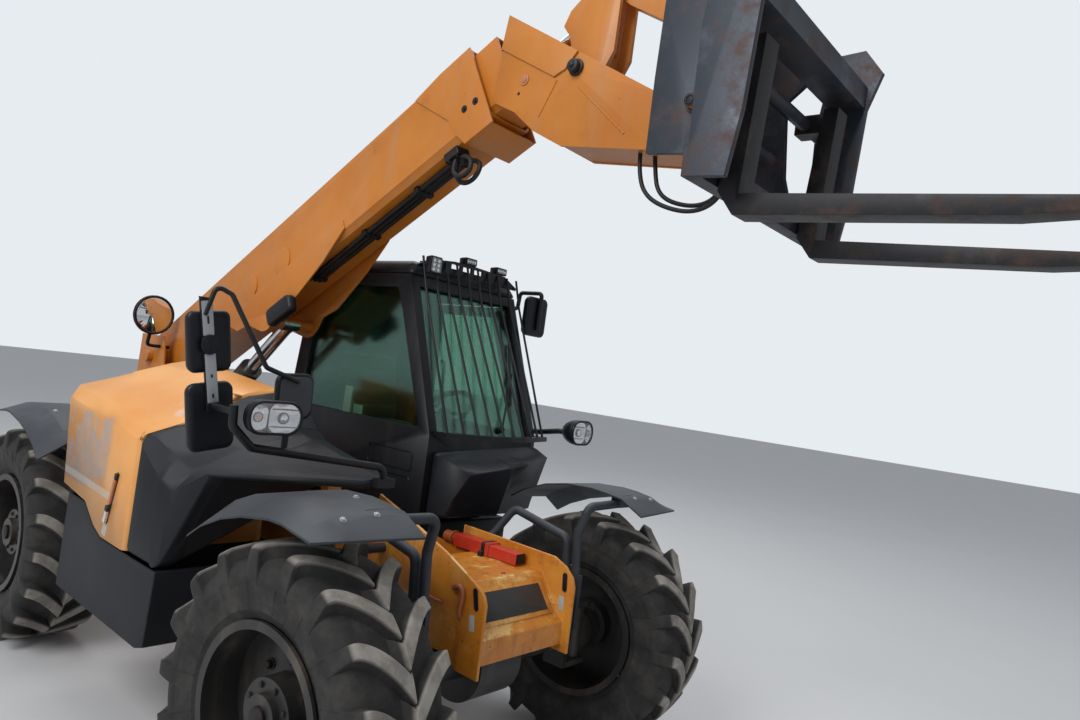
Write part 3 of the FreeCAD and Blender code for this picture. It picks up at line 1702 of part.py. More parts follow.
def boom_outer():
    half = float(d.boom_half)
    top = float(d.boom_depth) / 2
    wall = float(d.boom_wall)
    tube = boom_prism("outer_tube", d.boom_start, d.boom_end, boom_section(half, top, -top, 30))
    bore = boom_prism(
        "outer_bore", 160, float(d.boom_end) + 10, boom_section(
            half - wall,
            top - wall,
            wall - top,
            26,
        )
    )
    drop = top + 52
    collar_side = plate(
        "collar_side",
        (
            (d.collar_start, top - 6),
            (d.collar_start + 200, top + 13),
            (d.boom_end, top + 13),
            (d.boom_end + 11, -drop),
            (d.boom_end - 180, -drop),
            (d.boom_end - 216, -top + 23),
            (d.boom_end - 245, -60),
        ),
        d.boom_half + d.collar_plate / 2,
        d.collar_plate,
    )
    collar_floor = box(
        "collar_floor",
        (d.boom_end - 180, -d.boom_half - 2, -drop),
        (d.boom_end, d.boom_half + 2, d.collar_plate - drop),
    )
    lug_side = plate(
        "lug_side",
        (
            (d.lug_place - 420, -165),
            (d.lug_place - 320, -251),
            (d.lug_place - 191, -269),
            (d.lug_place - 60, -d.lug_drop - 45),
            (d.lug_place, -d.lug_drop - 62),
            (d.lug_place + 61, -d.lug_drop - 45),
            (d.lug_place + 141, -d.lug_drop + 5),
            (d.lug_place + 286, -340),
            (d.lug_place + 614, -255),
            (d.lug_place + 850, -165),
            (d.lug_place + 850, -110),
            (d.lug_place - 420, -110),
        ),
        d.boom_half + d.collar_plate / 2,
        d.collar_plate,
    )
    boss = rod(
        "lug_boss",
        Y_AXIS,
        (d.lug_place, 55, -d.lug_drop),
        d.boom_half + d.ring_reach - 55,
        36,
    )
    disc_a = rod("disc_a", Y_AXIS, (d.lug_place - 123, d.boom_half - 2, -30), 10, 85)
    disc_b = rod("disc_b", Y_AXIS, (d.lug_place + 243, d.boom_half - 2, -40), 10, 85)
    sides = fuse("outer_side", [collar_side, lug_side, boss, disc_a, disc_b])
    hollow_tube = cut("outer_shell", tube, [bore])
    ring_half = d.boom_half + d.ring_reach
    ring = rod("outer_ring", Y_AXIS, (0, -ring_half, 0), 2 * ring_half, 90)
    inner_half = d.boom_half - d.boom_wall
    inner_top = d.boom_depth / 2 - d.boom_wall
    play = d.boom_play - d.small_gap
    pad_side = box(
        "pad_side",
        (d.boom_end - 110, inner_half - play, -70),
        (d.boom_end - 10, inner_half + 2, 70),
    )
    pads = [pad_side, mirrored("pad_side_right", pad_side)]
    pads.append(
        box(
            "pad_top",
            (d.boom_end - 110, -90, inner_top - play),
            (d.boom_end - 10, 90, inner_top + 2),
        ),
    )
    pads.append(
        box(
            "pad_low",
            (d.boom_end - 110, -90, -inner_top - 2),
            (d.boom_end - 10, 90, play - inner_top),
        ),
    )
    joined = fuse(
        "outer_joined",
        [hollow_tube, sides, mirrored("outer_side_right", sides), collar_floor, ring] + pads,
    )
    pin_hole = rod(
        "outer_pin_hole",
        Y_AXIS,
        (0, -d.boom_half - 40, 0),
        2 * (d.boom_half + 40),
        d.pin_radius + d.running_fit,
    )
    finish("boom_outer", cut("boom_outer", joined, [pin_hole]), boom_place)


def boom_hoses():
    """Two rigid hose runs below the outer boom."""
    top = float(d.boom_depth) / 2
    runs = []
    for number, y in enumerate((-62, -30, 2)):
        runs.append(
            rod(
                "hose_run_%d" % number,
                X_AXIS,
                (d.lug_place + 360, y, -top - 16),
                d.boom_end - d.lug_place - 700,
                13,
            ),
        )
    clips = [
        box(
            "hose_clip_%d" % number,
            (d.lug_place + place, -85, -top - 33),
            (d.lug_place + place + 30, 25, -top - d.small_gap),
        )
        for number, place in enumerate((380, 900, 1350))
    ]
    finish("boom_hoses", fuse("boom_hoses", runs + clips), boom_place)


def boom_inner():
    """The sliding section with the head at its front."""
    play = float(d.boom_play) + float(d.boom_wall)
    half = float(d.boom_half) - play
    top = float(d.boom_depth) / 2 - play
    wall = float(d.boom_wall)
    start = 260
    end = float(d.boom_end) + 145
    tube = boom_prism("inner_tube", start, end, boom_section(half, top, -top, 28))
    bore = boom_prism(
        "inner_bore",
        start - 10,
        end + 10,
        boom_section(half - wall, top - wall, wall - top, 24),
    )
    hollow = cut("inner_shell", tube, [bore])
    # Each row: a corner of the head's side plate, from the front axle, in millimetres.
    outline = [
        along_boom(x, z)
        for x, z in (
            (-242, 3158),
            (-89, 3091),
            (45, 2988),
            (214, 2905),
            (700, 2843),
            (880, 2852),
            (950, 2900),
            (965, 2975),
            (900, 3040),
            (679, 3078),
            (-194, 3563),
            (-216, 3404),
        )
    ]
    side = plate("head_side", outline, d.head_half - d.head_plate / 2, d.head_plate)
    # The doubler that ends the tube, in the same terms.
    strap = [
        along_boom(x, z)
        for x, z in ((-216, 3404), (-194, 3563), (250, 3316), (190, 3245), (132, 3221))
    ]
    doubler = plate("head_doubler", strap, d.head_half + d.head_doubler / 2 - 1, d.head_doubler + 2)
    # The bent plate that closes the head below.
    sole = ((-89, 3095), (45, 2992), (214, 2909), (700, 2847), (862, 2855))
    lower = [along_boom(x, z) for x, z in sole]
    upper = [along_boom(x + 3, z + 12) for x, z in reversed(sole)]
    under = plate("head_under", lower + upper, 0, 2 * d.head_half - 4)
    knob_u, knob_v = along_boom(d.head_x, d.head_z)
    knob = rod(
        "head_knob",
        Y_AXIS,
        (knob_u, -d.head_half - 34, knob_v),
        2 * (d.head_half + 34),
        d.small_pin,
    )
    pin_u, pin_v = along_boom(d.carriage_x, d.carriage_z)
    pin = rod(
        "carriage_pin",
        Y_AXIS,
        (pin_u, -d.carriage_lug - 60, pin_v),
        2 * (d.carriage_lug + 60),
        d.small_pin,
    )
    foot = rod(
        "tilt_foot",
        Y_AXIS,
        (d.tilt_base_u, 52, d.tilt_base_v),
        half - wall - 52 + 2,
        30,
    )
    sides = [side, doubler]
    pieces = [hollow, under, knob, pin, foot, mirrored("tilt_foot_right", foot)] + sides
    pieces += [mirrored("head_side_right", side), mirrored("head_doubler_right", doubler)]
    finish("boom_inner", fuse("boom_inner", pieces), boom_place)


boom_outer()
boom_hoses()
boom_inner()


def cylinder_place(foot, eye):
    """A frame whose X runs from a cylinder's foot to its rod's eye, both given from the front axle."""
    run = eye - foot
    lean = math.degrees(math.atan2(run.z, run.x))
    return FreeCAD.Placement(foot + Vector(-middle_x, 0, 0), turn_about_y(-lean)), run.Length


def from_boom(along, above):
    """The other way round: a point of the boom's frame, from the front axle."""
    spot = raised.multVec(Vector(float(along), 0, float(above)))
    return spot + Vector(float(d.pivot_x), 0, float(d.pivot_z))


def cylinder_pair(
    label, foot, eye, barrel_radius, barrel_length, rod_radius, rod_length, ear_half, eye_half
):
    """A barrel with a foot eye, and a rod with its own eye that slides in it."""
    place, reach = cylinder_place(foot, eye)
    barrel = rod(label + "_tube", X_AXIS, (60, 0, 0), barrel_length - 60, barrel_radius)
    ear = rod(label + "_ear", Y_AXIS, (0, -ear_half, 0), 2 * ear_half, barrel_radius * 0.78)
    neck = box(
        label + "_neck",
        (0, -ear_half, -barrel_radius * 0.5),
        (80, ear_half, barrel_radius * 0.5),
    )
    solid = fuse(label + "_solid", [barrel, ear, neck])
    bore = rod(label + "_bore", X_AXIS, (90, 0, 0), barrel_length, rod_radius + d.running_fit)
    finish(label + "_barrel", cut(label + "_barrel", solid, [bore]), place)
    shaft = rod(label + "_shaft", X_AXIS, (reach - rod_length, 0, 0), rod_length, rod_radius)
    end = rod(label + "_eye", Y_AXIS, (reach, -eye_half, 0), 2 * eye_half, rod_radius * 1.0)
    finish(label + "_rod", fuse(label + "_rod", [shaft, end]), place)


cylinder_pair(
    "lift",
    Vector(float(d.lift_base_x), 0, float(d.lift_base_z)),
    from_boom(d.lug_place, -d.lug_drop),
    d.lift_barrel_radius,
    d.lift_barrel_length,
    d.lift_rod_radius,
    d.lift_rod_length,
    60 - d.small_gap,
    55 - d.small_gap,
)
lever_pivot = Vector(float(d.head_x), 0, float(d.head_z))
rod_pin = lever_pivot + Vector(float(d.lever_rod_x), 0, float(d.lever_rod_z))
link_pin = lever_pivot + Vector(float(d.lever_x), 0, float(d.lever_z))
cylinder_pair(
    "tilt",
    from_boom(d.tilt_base_u, d.tilt_base_v),
    rod_pin,
    d.tilt_barrel_radius,
    d.tilt_barrel_length,
    d.tilt_rod_radius,
    d.tilt_rod_length,
    52 - d.small_gap,
    50 - d.small_gap,
)


def tilt_lever():
    """Two plates on the head's cross pin, tied by the link's pin and a web at the front."""
    # Each row: a corner of the side plate, from the cross pin.
    outline = [
        (d.head_x + x, d.head_z + z)
        for x, z in (
            (-60, -50),
            (70, -50),
            (140, 80),
            (140, 385),
            (95, 465),
            (30, 440),
            (-130, 305),
            (-160, 240),
            (-120, 190),
            (-70, 60),
        )
    ]
    side = plate("lever_side", outline, d.link_half + 26, 20)
    boss = rod("lever_boss", Y_AXIS, (d.head_x, d.link_half + 16, d.head_z), 50, 46)
    pair = fuse("lever_pair", [side, boss])
    web = box(
        "lever_web",
        (d.head_x + 60, -d.link_half - 20, d.head_z - 30),
        (d.head_x + 78, d.link_half + 20, d.head_z + 90),
    )
    pin = rod(
        "lever_link_pin",
        Y_AXIS,
        (d.head_x + d.lever_x, -d.link_half - 46, d.head_z + d.lever_z),
        2 * (d.link_half + 46),
        d.small_pin,
    )
    hole = rod("lever_hole", Y_AXIS, (d.head_x, -200, d.head_z), 400, d.small_pin + d.running_fit)
    joined = fuse("lever_joined", [pair, mirrored("lever_pair_right", pair), pin, web])
    finish("tilt_lever", cut("tilt_lever", joined, [hole]), machine)


def tilt_link():
    """The bar from the lever to the carriage, with an eye at each end and a belly between them."""
    start = (d.head_x + d.lever_x, d.head_z + d.lever_z)
    end = (d.carriage_x + d.lever_x, d.carriage_z + d.lever_z)
    # Each row: a corner of the bar's underside, from its rear pin.
    under = ((-10, -45), (80, -115), (300, -240), (420, -270), (624, -308))
    belly = [(start[0] + x, start[1] + z) for x, z in under]
    back = [(end[0], end[1] + 38), (start[0], start[1] + 38)]
    bar = plate("link_bar", belly + back, 0, 2 * d.link_half - 14)
    eyes = [
        rod("link_eye_%d" % number, Y_AXIS, (x, -d.link_half + 2, z), 2 * d.link_half - 4, 46)
        for number, (x, z) in enumerate((start, end))
    ]
    holes = [
        rod("link_hole_%d" % number, Y_AXIS, (x, -100, z), 200, d.small_pin + d.running_fit)
        for number, (x, z) in enumerate((start, end))
    ]
    finish("tilt_link", cut("tilt_link", fuse("link_solid", [bar] + eyes), holes), machine)


def carriage():
    """Two lug plates on the boom's pin, and the frame of rails that carries the forks."""
    pin_x, pin_z = d.carriage_x, d.carriage_z
    link_x, link_z = pin_x + d.lever_x, pin_z + d.lever_z
    # Each row: a corner of the lug plate, from the boom's pin.
    lug = plate(
        "carriage_lug_plate",
        [
            (pin_x + x, pin_z + z)
            for x, z in (
                (-187, -172),
                (-25, -186),
                (115, -315),
                (175, -375),
                (225, -375),
                (225, -255),
                (200, -175),
                (185, -25),
                (170, 125),
                (245, 190),
                (245, 275),
                (170, 465),
                (85, 495),
                (0, 465),
                (-185, 450),
                (-190, 125),
            )
        ],
        d.carriage_lug + d.carriage_plate / 2,
        d.carriage_plate,
    )
    hole = rod("carriage_hole", Y_AXIS, (pin_x, 0, pin_z), 400, d.small_pin + d.running_fit)
    lug_cut = cut("carriage_lug_cut", lug, [hole])
    boss = rod("link_boss", Y_AXIS, (link_x, d.carriage_lug, link_z), 48, d.link_boss)
    link_pin = rod(
        "link_pin",
        Y_AXIS,
        (link_x, -d.carriage_lug - 4, link_z),
        2 * (d.carriage_lug + 4),
        d.small_pin,
    )
    cross = rod("cross_tube", Y_AXIS, (pin_x + 135, -260, pin_z - 105), 520, 26)
    shaft = rod(
        "fork_shaft",
        Y_AXIS,
        (d.shaft_x, -d.carriage_half, d.shaft_z),
        2 * d.carriage_half,
        d.shaft_radius,
    )
    rails = [
        box("carriage_rail_low", (1075, -d.carriage_half, 2600), (1135, d.carriage_half, 2690)),
        box("carriage_rail_top", (1140, -d.carriage_half, 3160), (1275, d.carriage_half, 3250)),
    ]
    # Each row: a corner of the frame's end plate, from the front axle.
    end_plate = plate(
        "carriage_end",
        (
            (1090, 2600),
            (1229, 2592),
            (1261, 2803),
            (1280, 3157),
            (1329, 3303),
            (1250, 3407),
            (1120, 3400),
            (1080, 3100),
        ),
        d.carriage_half - 12,
        d.carriage_plate,
    )
    pieces = [
        lug_cut,
        mirrored("carriage_lug_right", lug_cut),
        boss,
        mirrored("link_boss_right", boss),
        shaft,
        cross,
        end_plate,
        mirrored("carriage_end_right", end_plate),
        link_pin,
    ] + rails
    finish("carriage", fuse("carriage", pieces), machine)


def forks():
    """A pair of forged forks that hang on the carriage's shaft."""
    tip = d.fork_heel_x + d.fork_length
    # The fork seen from its side: down the back, along the underside, back along the top.
    fork = plate(
        "fork",
        (
            (1142, d.fork_heel_z + 81),
            (1204, d.fork_heel_z),
            (2000, d.fork_heel_z - 28),
            (tip, d.fork_heel_z - 11),
            (tip, d.fork_heel_z + 9),
            (2000, d.fork_heel_z + 27),
            (d.fork_heel_x, d.fork_heel_z + 71),
            (1247, d.fork_top),
            (1188, d.fork_top),
        ),
        d.fork_side,
        d.fork_width,
    )
    eye = box(
        "fork_eye",
        (d.shaft_x - 38, d.fork_side - 40, d.shaft_z - 38),
        (d.shaft_x + 88, d.fork_side + 40, d.shaft_z + 38),
    )
    hole = rod(
        "fork_eye_hole",
        Y_AXIS,
        (d.shaft_x, d.fork_side - 100, d.shaft_z),
        d.fork_width + 80,
        d.shaft_radius + d.running_fit,
    )
    one = cut("fork_one", fuse("fork_solid", [fork, eye]), [hole])
    finish("forks", fuse("forks", [one, mirrored("fork_two", one)]), machine)


tilt_lever()
tilt_link()
carriage()
forks()

doc.recompute()
for thing in doc.Objects:
    if "Invalid" in thing.State or "Error" in thing.State:
        raise RuntimeError("%s could not be made" % thing.Name)
os.makedirs("parts", exist_ok=True)
for piece in finished:
    shape = piece.Shape
    if shape.isNull() or not shape.isValid():
        raise RuntimeError("%s has no sound shape" % piece.Label)
    shape.exportStep(os.path.join("parts", piece.Label + ".step"))
print("%d sub-parts written" % len(finished))
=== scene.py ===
# %% [markdown]
# This lesson dresses a telehandler: a farm and building-site machine with a telescopic boom, pallet
# forks, a cab on its left side and an engine pod on its right. The solid model is loaded as a fixed
# frame. Every new piece is placed in that frame and says which body it moves with.

# %% Load the frame
import json
import math

import bmesh
import bpy
import numpy as np
from mathutils import Matrix
from mathutils.bvhtree import BVHTree


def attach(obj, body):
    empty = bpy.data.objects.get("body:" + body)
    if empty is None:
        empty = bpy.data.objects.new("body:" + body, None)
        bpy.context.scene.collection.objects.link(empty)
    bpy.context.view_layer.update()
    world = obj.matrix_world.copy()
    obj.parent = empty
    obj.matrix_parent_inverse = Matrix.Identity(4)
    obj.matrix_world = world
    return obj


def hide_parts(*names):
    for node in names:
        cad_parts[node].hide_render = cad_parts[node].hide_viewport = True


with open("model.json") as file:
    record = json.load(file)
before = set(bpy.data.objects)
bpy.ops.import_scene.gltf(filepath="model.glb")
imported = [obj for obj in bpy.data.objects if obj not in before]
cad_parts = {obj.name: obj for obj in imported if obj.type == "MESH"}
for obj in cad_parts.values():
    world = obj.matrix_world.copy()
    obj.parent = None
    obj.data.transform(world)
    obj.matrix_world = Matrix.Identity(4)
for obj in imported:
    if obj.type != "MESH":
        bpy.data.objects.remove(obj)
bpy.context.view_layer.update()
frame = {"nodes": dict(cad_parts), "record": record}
joints = {joint["name"]: joint for joint in frame["record"]["behaviour"]["joints"]}

# %% [markdown]
# The machine was measured from its front axle, in millimetres: X forward, Y to its left, Z up. The
# frame's own origin lies below the middle of the whole length, so one small function turns a
# measured place into the frame's metres.

# %% Places measured from the front axle
AXLE_AHEAD = 0.5875


def at(x, y, z):
    """A place in millimetres from the front axle, as metres in the frame: shifted along X and scaled."""
    return np.array([x / 1000 + AXLE_AHEAD, y / 1000, z / 1000])


def places(rows):
    """Many such places at once, as one array with a row for each."""
    return np.asarray(rows, float) / 1000 + np.array([AXLE_AHEAD, 0.0, 0.0])


print("front axle at", at(0, 0, 600).round(3))

# %% [markdown]
# The camera stands low beside the right front wheel, near the height of the cab's sill, and looks up
# along the boom. The photograph was taken with a tilted camera, so the view is rolled by almost
# eight degrees. The angles are kept as numbers, because they were solved from straight edges.

# %% Camera
VIEW_YAW, VIEW_PITCH, VIEW_ROLL = math.radians(40.124), math.radians(1.335), math.radians(7.718)
FOCAL_PIXELS, FRAME_PIXELS, SENSOR_WIDTH = 768.86, 1080, 36.0


def view_axes(yaw, pitch, roll):
    """The camera's right, up and forward directions: forward from yaw and pitch, then rolled about it."""
    sine, cosine = math.sin, math.cos
    forward = np.array([-sine(yaw) * cosine(pitch), cosine(yaw) * cosine(pitch), sine(pitch)])
    right = np.array([cosine(yaw), sine(yaw), 0.0])
    up = np.cross(right, forward)
    return cosine(roll) * right + sine(roll) * up, cosine(roll) * up - sine(roll) * right, forward


def stand(name, data, right, up, back, place):
    """Puts a camera or a lamp at a place, turned by its right, up and backward directions."""
    turn = np.eye(4)
    turn[:3] = np.column_stack([right, up, back, place])
    thing = bpy.data.objects.new(name, data)
    thing.matrix_world = Matrix(turn.tolist())
    scene.collection.objects.link(thing)
    return thing


scene = bpy.context.scene
right, up, forward = view_axes(VIEW_YAW, VIEW_PITCH, VIEW_ROLL)
lens = bpy.data.cameras.new("camera")
lens.sensor_width = SENSOR_WIDTH
lens.lens = FOCAL_PIXELS / FRAME_PIXELS * SENSOR_WIDTH
lens.clip_start = 0.05
scene.camera = stand("camera", lens, right, up, -forward, at(2376.9, -2634.9, 1896.6))
print("lens", round(lens.lens, 2), "mm")

# %% [markdown]
# Outdoors, a bright overcast sky lit this machine from all round, with the light strongest from the
# upper left. One broad lamp and a pale surrounding do the same in a studio. The camera sees the
# surrounding as a light grey, also through glass, whatever its strength as a lamp.

# %% Studio
LIT_COLOUR, LIT_STRENGTH = (0.90, 0.95, 1.0, 1), 0.48
SEEN_COLOUR, SEEN_STRENGTH = (0.80, 0.84, 0.88, 1), 1.0
scene.view_settings.view_transform = "Standard"
world = bpy.data.worlds.new("studio")
scene.world = world
world.use_nodes = True
nodes, links = world.node_tree.nodes, world.node_tree.links
nodes.clear()
path = nodes.new("ShaderNodeLightPath")
seen = nodes.new("ShaderNodeMath")
seen.operation = "MAXIMUM"
for number, ray in enumerate(("Is Camera Ray", "Is Transmission Ray")):
    links.new(path.outputs[ray], seen.inputs[number])
choose = nodes.new("ShaderNodeMixShader")
links.new(seen.outputs[0], choose.inputs[0])
for number, look in ((1, (LIT_COLOUR, LIT_STRENGTH)), (2, (SEEN_COLOUR, SEEN_STRENGTH))):
    light = nodes.new("ShaderNodeBackground")
    light.inputs["Color"].default_value, light.inputs["Strength"].default_value = look
    links.new(light.outputs[0], choose.inputs[number])
links.new(choose.outputs[0], nodes.new("ShaderNodeOutputWorld").inputs["Surface"])


def area_lamp(name, place, target, size, power):
    """A square lamp at a place, turned so that it shines towards its target."""
    lamp = bpy.data.lights.new(name, "AREA")
    lamp.size = size
    lamp.energy = power
    back = np.subtract(place, target)
    back /= np.linalg.norm(back)
    side = np.cross((0.0, 0.0, 1.0), back)
    side /= np.linalg.norm(side)
    stand(name, lamp, side, np.cross(back, side), back, place)


MIDDLE = (0.0, 0.0, 1.2)
area_lamp("key_lamp", (0.5, -7.5, 7.5), MIDDLE, 5.0, 560)
area_lamp("top_lamp", (-3.0, 2.0, 9.0), MIDDLE, 7.0, 420)
print("two lamps and a pale surrounding")

# %% [markdown]
# A procedural finish is arithmetic on a few patterns. Wrapping a socket in a small class lets that
# arithmetic be read as ordinary expressions: each operator adds one Math node and returns a new value.

# %% Values in a finish
class Value:
    """A single number that varies over a surface, with the usual operators."""

    def __init__(self, finish, socket):
        self.finish = finish
        self.socket = socket

    def _with(self, operation, first, second):
        made = self.finish.node("ShaderNodeMath", {"operation": operation}, {0: first, 1: second})
        return Value(self.finish, made.outputs[0])

    def __add__(self, other):
        return self._with("ADD", self, other)

    def __sub__(self, other):
        return self._with("SUBTRACT", self, other)

    def __rsub__(self, other):
        return self._with("SUBTRACT", other, self)

    def __mul__(self, other):
        return self._with("MULTIPLY", self, other)

    __radd__ = __add__
    __rmul__ = __mul__

    def either(self, other):
        return self._with("MAXIMUM", self, other)

    def step(self, low, high):
        """Nought below low, one above high, with a smooth rise between."""
        settings = {"interpolation_type": "SMOOTHSTEP"}
        made = self.finish.node("ShaderNodeMapRange", settings, {0: self, 1: low, 2: high})
        return Value(self.finish, made.outputs[0])


class Finish:
    """A material being made: its nodes, its patterns on object coordinates, and its shader."""

    def __init__(self, name):
        self.material = bpy.data.materials.new(name)
        self.material.use_nodes = True
        self.tree = self.material.node_tree
        self.tree.nodes.clear()
        self.place = self.node("ShaderNodeTexCoord").outputs["Object"]

    def node(self, kind, settings=None, inputs=None):
        """Adds a node. Its settings come first, then the numbers, colours or links of its sockets."""
        made = self.tree.nodes.new(kind)
        for name, setting in (settings or {}).items():
            setattr(made, name, setting)
        for name, given in (inputs or {}).items():
            if isinstance(given, Value):
                given = given.socket
            if isinstance(given, bpy.types.NodeSocket):
                self.tree.links.new(given, made.inputs[name])
            else:
                made.inputs[name].default_value = given
        return made

    def axis(self, name):
        """How far along X, Y or Z a point lies, in metres."""
        return Value(self, self.node("ShaderNodeSeparateXYZ", inputs={0: self.place}).outputs[name])

    def noise(self, scale, detail=4.0, roughness=0.55, stretch=(1, 1, 1)):
        """Cloudy noise between nought and one, about scale blotches to the metre."""
        spot = self.node("ShaderNodeMapping", inputs={"Vector": self.place, "Scale": stretch}).outputs[0]
        inputs = {"Vector": spot, "Scale": scale, "Detail": detail, "Roughness": roughness}
        return Value(self, self.node("ShaderNodeTexNoise", inputs=inputs).outputs[0])

    def facing(self, name):
        """How far the surface looks along X, Y or Z: one where it faces that way."""
        looks = self.node("ShaderNodeNewGeometry").outputs["Normal"]
        return Value(self, self.node("ShaderNodeSeparateXYZ", inputs={0: looks}).outputs[name])

    def attribute(self, name):
        """A number that the piece's own mesh carries."""
        return Value(self, self.node("ShaderNodeAttribute", {"attribute_name": name}).outputs["Fac"])

    def mix(self, share, first, second):
        """The first colour where share is nought, the second where it is one."""
        made = self.node("ShaderNodeMix", {"data_type": "RGBA"}, {0: share, 6: first, 7: second})
        return made.outputs[2]

    def bump(self, height, strength, distance):
        inputs = {"Height": height, "Strength": strength, "Distance": distance}
        return self.node("ShaderNodeBump", inputs=inputs).outputs[0]

    def surface(self, colour, roughness, **sockets):
        """The main shader, with further sockets named with underscores for spaces."""
        inputs = {"Base Color": colour, "Roughness": roughness}
        inputs.update({name.replace("_", " "): given for name, given in sockets.items()})
        made = self.node("ShaderNodeBsdfPrincipled", inputs=inputs)
        return self.finished(made.outputs[0])

    def finished(self, shader):
        self.node("ShaderNodeOutputMaterial", inputs={"Surface": shader})
        return self.material


print("finish helper ready")

# %% [markdown]
# The machine's amber paint has stood in the sun for years. It is paler in clouds, streaked with dust
# that ran downwards, and chipped to brown rust in small spots. The same recipe, with more fading or more
# rust, serves the boom, the bonnet and the worn nose.

# %% Painted steel
AMBER = (0.50, 0.155, 0.010, 1)
PALE_AMBER = (0.63, 0.24, 0.038, 1)
RUST = (0.11, 0.032, 0.012, 1)
DUST = (0.34, 0.27, 0.20, 1)


def painted(name, colour, faded, fading=0.6, rusting=0.3, dusting=0.4, shine=0.5):
    """Paint that fades in clouds, is chipped to rust and carries dust in streaks."""
    made = Finish(name)
    clouds = made.noise(1.6, 5.0, 0.6).step(0.35, 0.7) * fading
    chips = made.noise(26.0, 8.0, 0.72).step(0.70 - 0.10 * rusting, 0.74 - 0.08 * rusting)
    stains = made.noise(5.0, 8.0, 0.7).step(0.62 - 0.12 * rusting, 0.80) * rusting
    streaks = made.noise(9.0, 6.0, 0.6, (1, 1, 0.16)).step(0.45, 0.85) * dusting
    grain = made.noise(320.0, 3.0)
    base = made.mix(clouds, colour, faded)
    base = made.mix(streaks, base, DUST)
    worn = (chips * min(1.0, rusting * 2.2)).either(stains)
    base = made.mix(worn, base, RUST)
    gloss = 0.36 + streaks * 0.3 + worn * 0.35 + grain * 0.08
    relief = made.bump(grain * 0.15 - worn * 0.6 + made.noise(40.0) * 0.3, 0.25, 0.002)
    coat = {"Coat_Weight": 0.2 * shine, "Coat_Roughness": 0.25}
    return made.surface(base, gloss, Normal=relief, Specular_IOR_Level=shine, **coat)


def worn_nose_paint():
    """The nose: rubbed yellow-white where boots and loads touch it, with rust that runs from chips."""
    made = Finish("worn_amber_paint")
    upward = made.facing("Z").step(0.35, 0.95)
    clouds = made.noise(3.0, 6.0, 0.65).step(0.35, 0.7)
    base = made.mix(clouds * 0.7, (0.52, 0.170, 0.010, 1), (0.66, 0.30, 0.045, 1))
    rubbed = made.noise(7.0, 8.0, 0.7, (1.0, 0.6, 1)).step(0.52, 0.60) * (0.15 + upward * 0.75)
    base = made.mix(rubbed, base, (0.78, 0.56, 0.22, 1))
    runs = made.noise(22.0, 7.0, 0.65, (1, 1, 0.14)).step(0.50, 0.72)
    base = made.mix(runs * 0.55, base, (0.25, 0.060, 0.010, 1))
    stains = made.noise(11.0, 9.0, 0.75).step(0.52, 0.72) * (0.45 + upward * 0.4)
    base = made.mix(stains, base, (0.30, 0.075, 0.018, 1))
    chips = made.noise(38.0, 9.0, 0.78).step(0.60, 0.66)
    base = made.mix(chips * 0.9, base, (0.055, 0.018, 0.010, 1))
    grain = made.noise(180.0, 4.0)
    relief = made.bump(grain * 0.2 - chips * 0.6 - stains * 0.3, 0.35, 0.003)
    return made.surface(base, 0.42 + stains * 0.3 + chips * 0.2, Normal=relief, Coat_Weight=0.08)


finishes = {
    "body_paint": painted("amber_paint", AMBER, PALE_AMBER, 0.55, 0.30, 0.30),
    "nose_paint": worn_nose_paint(),
    "red_paint": painted("red_paint", (0.52, 0.030, 0.012, 1), (0.62, 0.09, 0.05, 1), 0.6, 0.25, 0.35),
    "copper_paint": painted("copper_paint", (0.34, 0.085, 0.022, 1), (0.60, 0.25, 0.10, 1), 0.8, 0.8, 0.3),
    "cab_paint": painted(
        "black_cab_paint", (0.006, 0.007, 0.009, 1), (0.014, 0.015, 0.019, 1), 0.8, 0.06, 0.05, 0.3
    ),
    "dark_paint": painted(
        "dark_grey_paint", (0.016, 0.016, 0.017, 1), (0.034, 0.032, 0.029, 1), 0.8, 0.4, 0.25, 0.35
    ),
}
print(len(finishes), "paints")

# %% [markdown]
# The bonnet's paint is the palest, and its outer side has lost a large label: a patch with torn
# edges shows grey-blue primer, and a pale stripe runs below it.

# %% Bonnet paint
def bonnet_finish():
    """Pale amber with a peeled patch and a stripe, both kept to the outer side by height and place."""
    made = Finish("faded_bonnet_paint")
    along, across, height = made.axis("X"), made.axis("Y"), made.axis("Z")
    base = made.mix(made.noise(1.3, 5.0).step(0.30, 0.72), (0.68, 0.270, 0.050, 1), (0.80, 0.40, 0.13, 1))
    outer = across.step(-1.02, -1.06)
    window = height.step(1.04, 1.08) * height.step(1.46, 1.40)
    window = window * along.step(-1.54, -1.48) * along.step(-0.90, -1.00)
    base = made.mix(window * outer * 0.55, base, (0.46, 0.170, 0.022, 1))
    torn = (made.noise(5.0, 8.0, 0.66, (1, 1, 0.7)) + window * 0.14).step(0.58, 0.61) * window * outer
    primer = made.mix(made.noise(14.0).step(0.4, 0.6), (0.30, 0.29, 0.30, 1), (0.42, 0.30, 0.22, 1))
    base = made.mix(torn * 0.75, base, primer)
    level = height + along * 0.06
    stripe = level.step(0.99, 1.0) * level.step(1.035, 1.025) * outer * along.step(-0.80, -0.84)
    base = made.mix(stripe * 0.55, base, (0.70, 0.66, 0.60, 1))
    ghost = made.noise(5.0, 8.0, 0.7).step(0.55, 0.60) * across.step(-0.98, -0.90) * across.step(-0.60, -0.68)
    base = made.mix(ghost * along.step(-1.05, -0.95) * 0.4, base, (0.62, 0.58, 0.56, 1))
    chips = made.noise(30.0, 8.0, 0.75).step(0.72, 0.75)
    base = made.mix(chips * 0.7, base, RUST)
    grain = made.noise(260.0, 3.0)
    relief = made.bump(grain * 0.15 - torn * 0.5 - chips * 0.5, 0.2, 0.002)
    gloss = 0.34 + torn * 0.25 + grain * 0.1
    return made.surface(base, gloss, Normal=relief, Coat_Weight=0.2, Coat_Roughness=0.2)


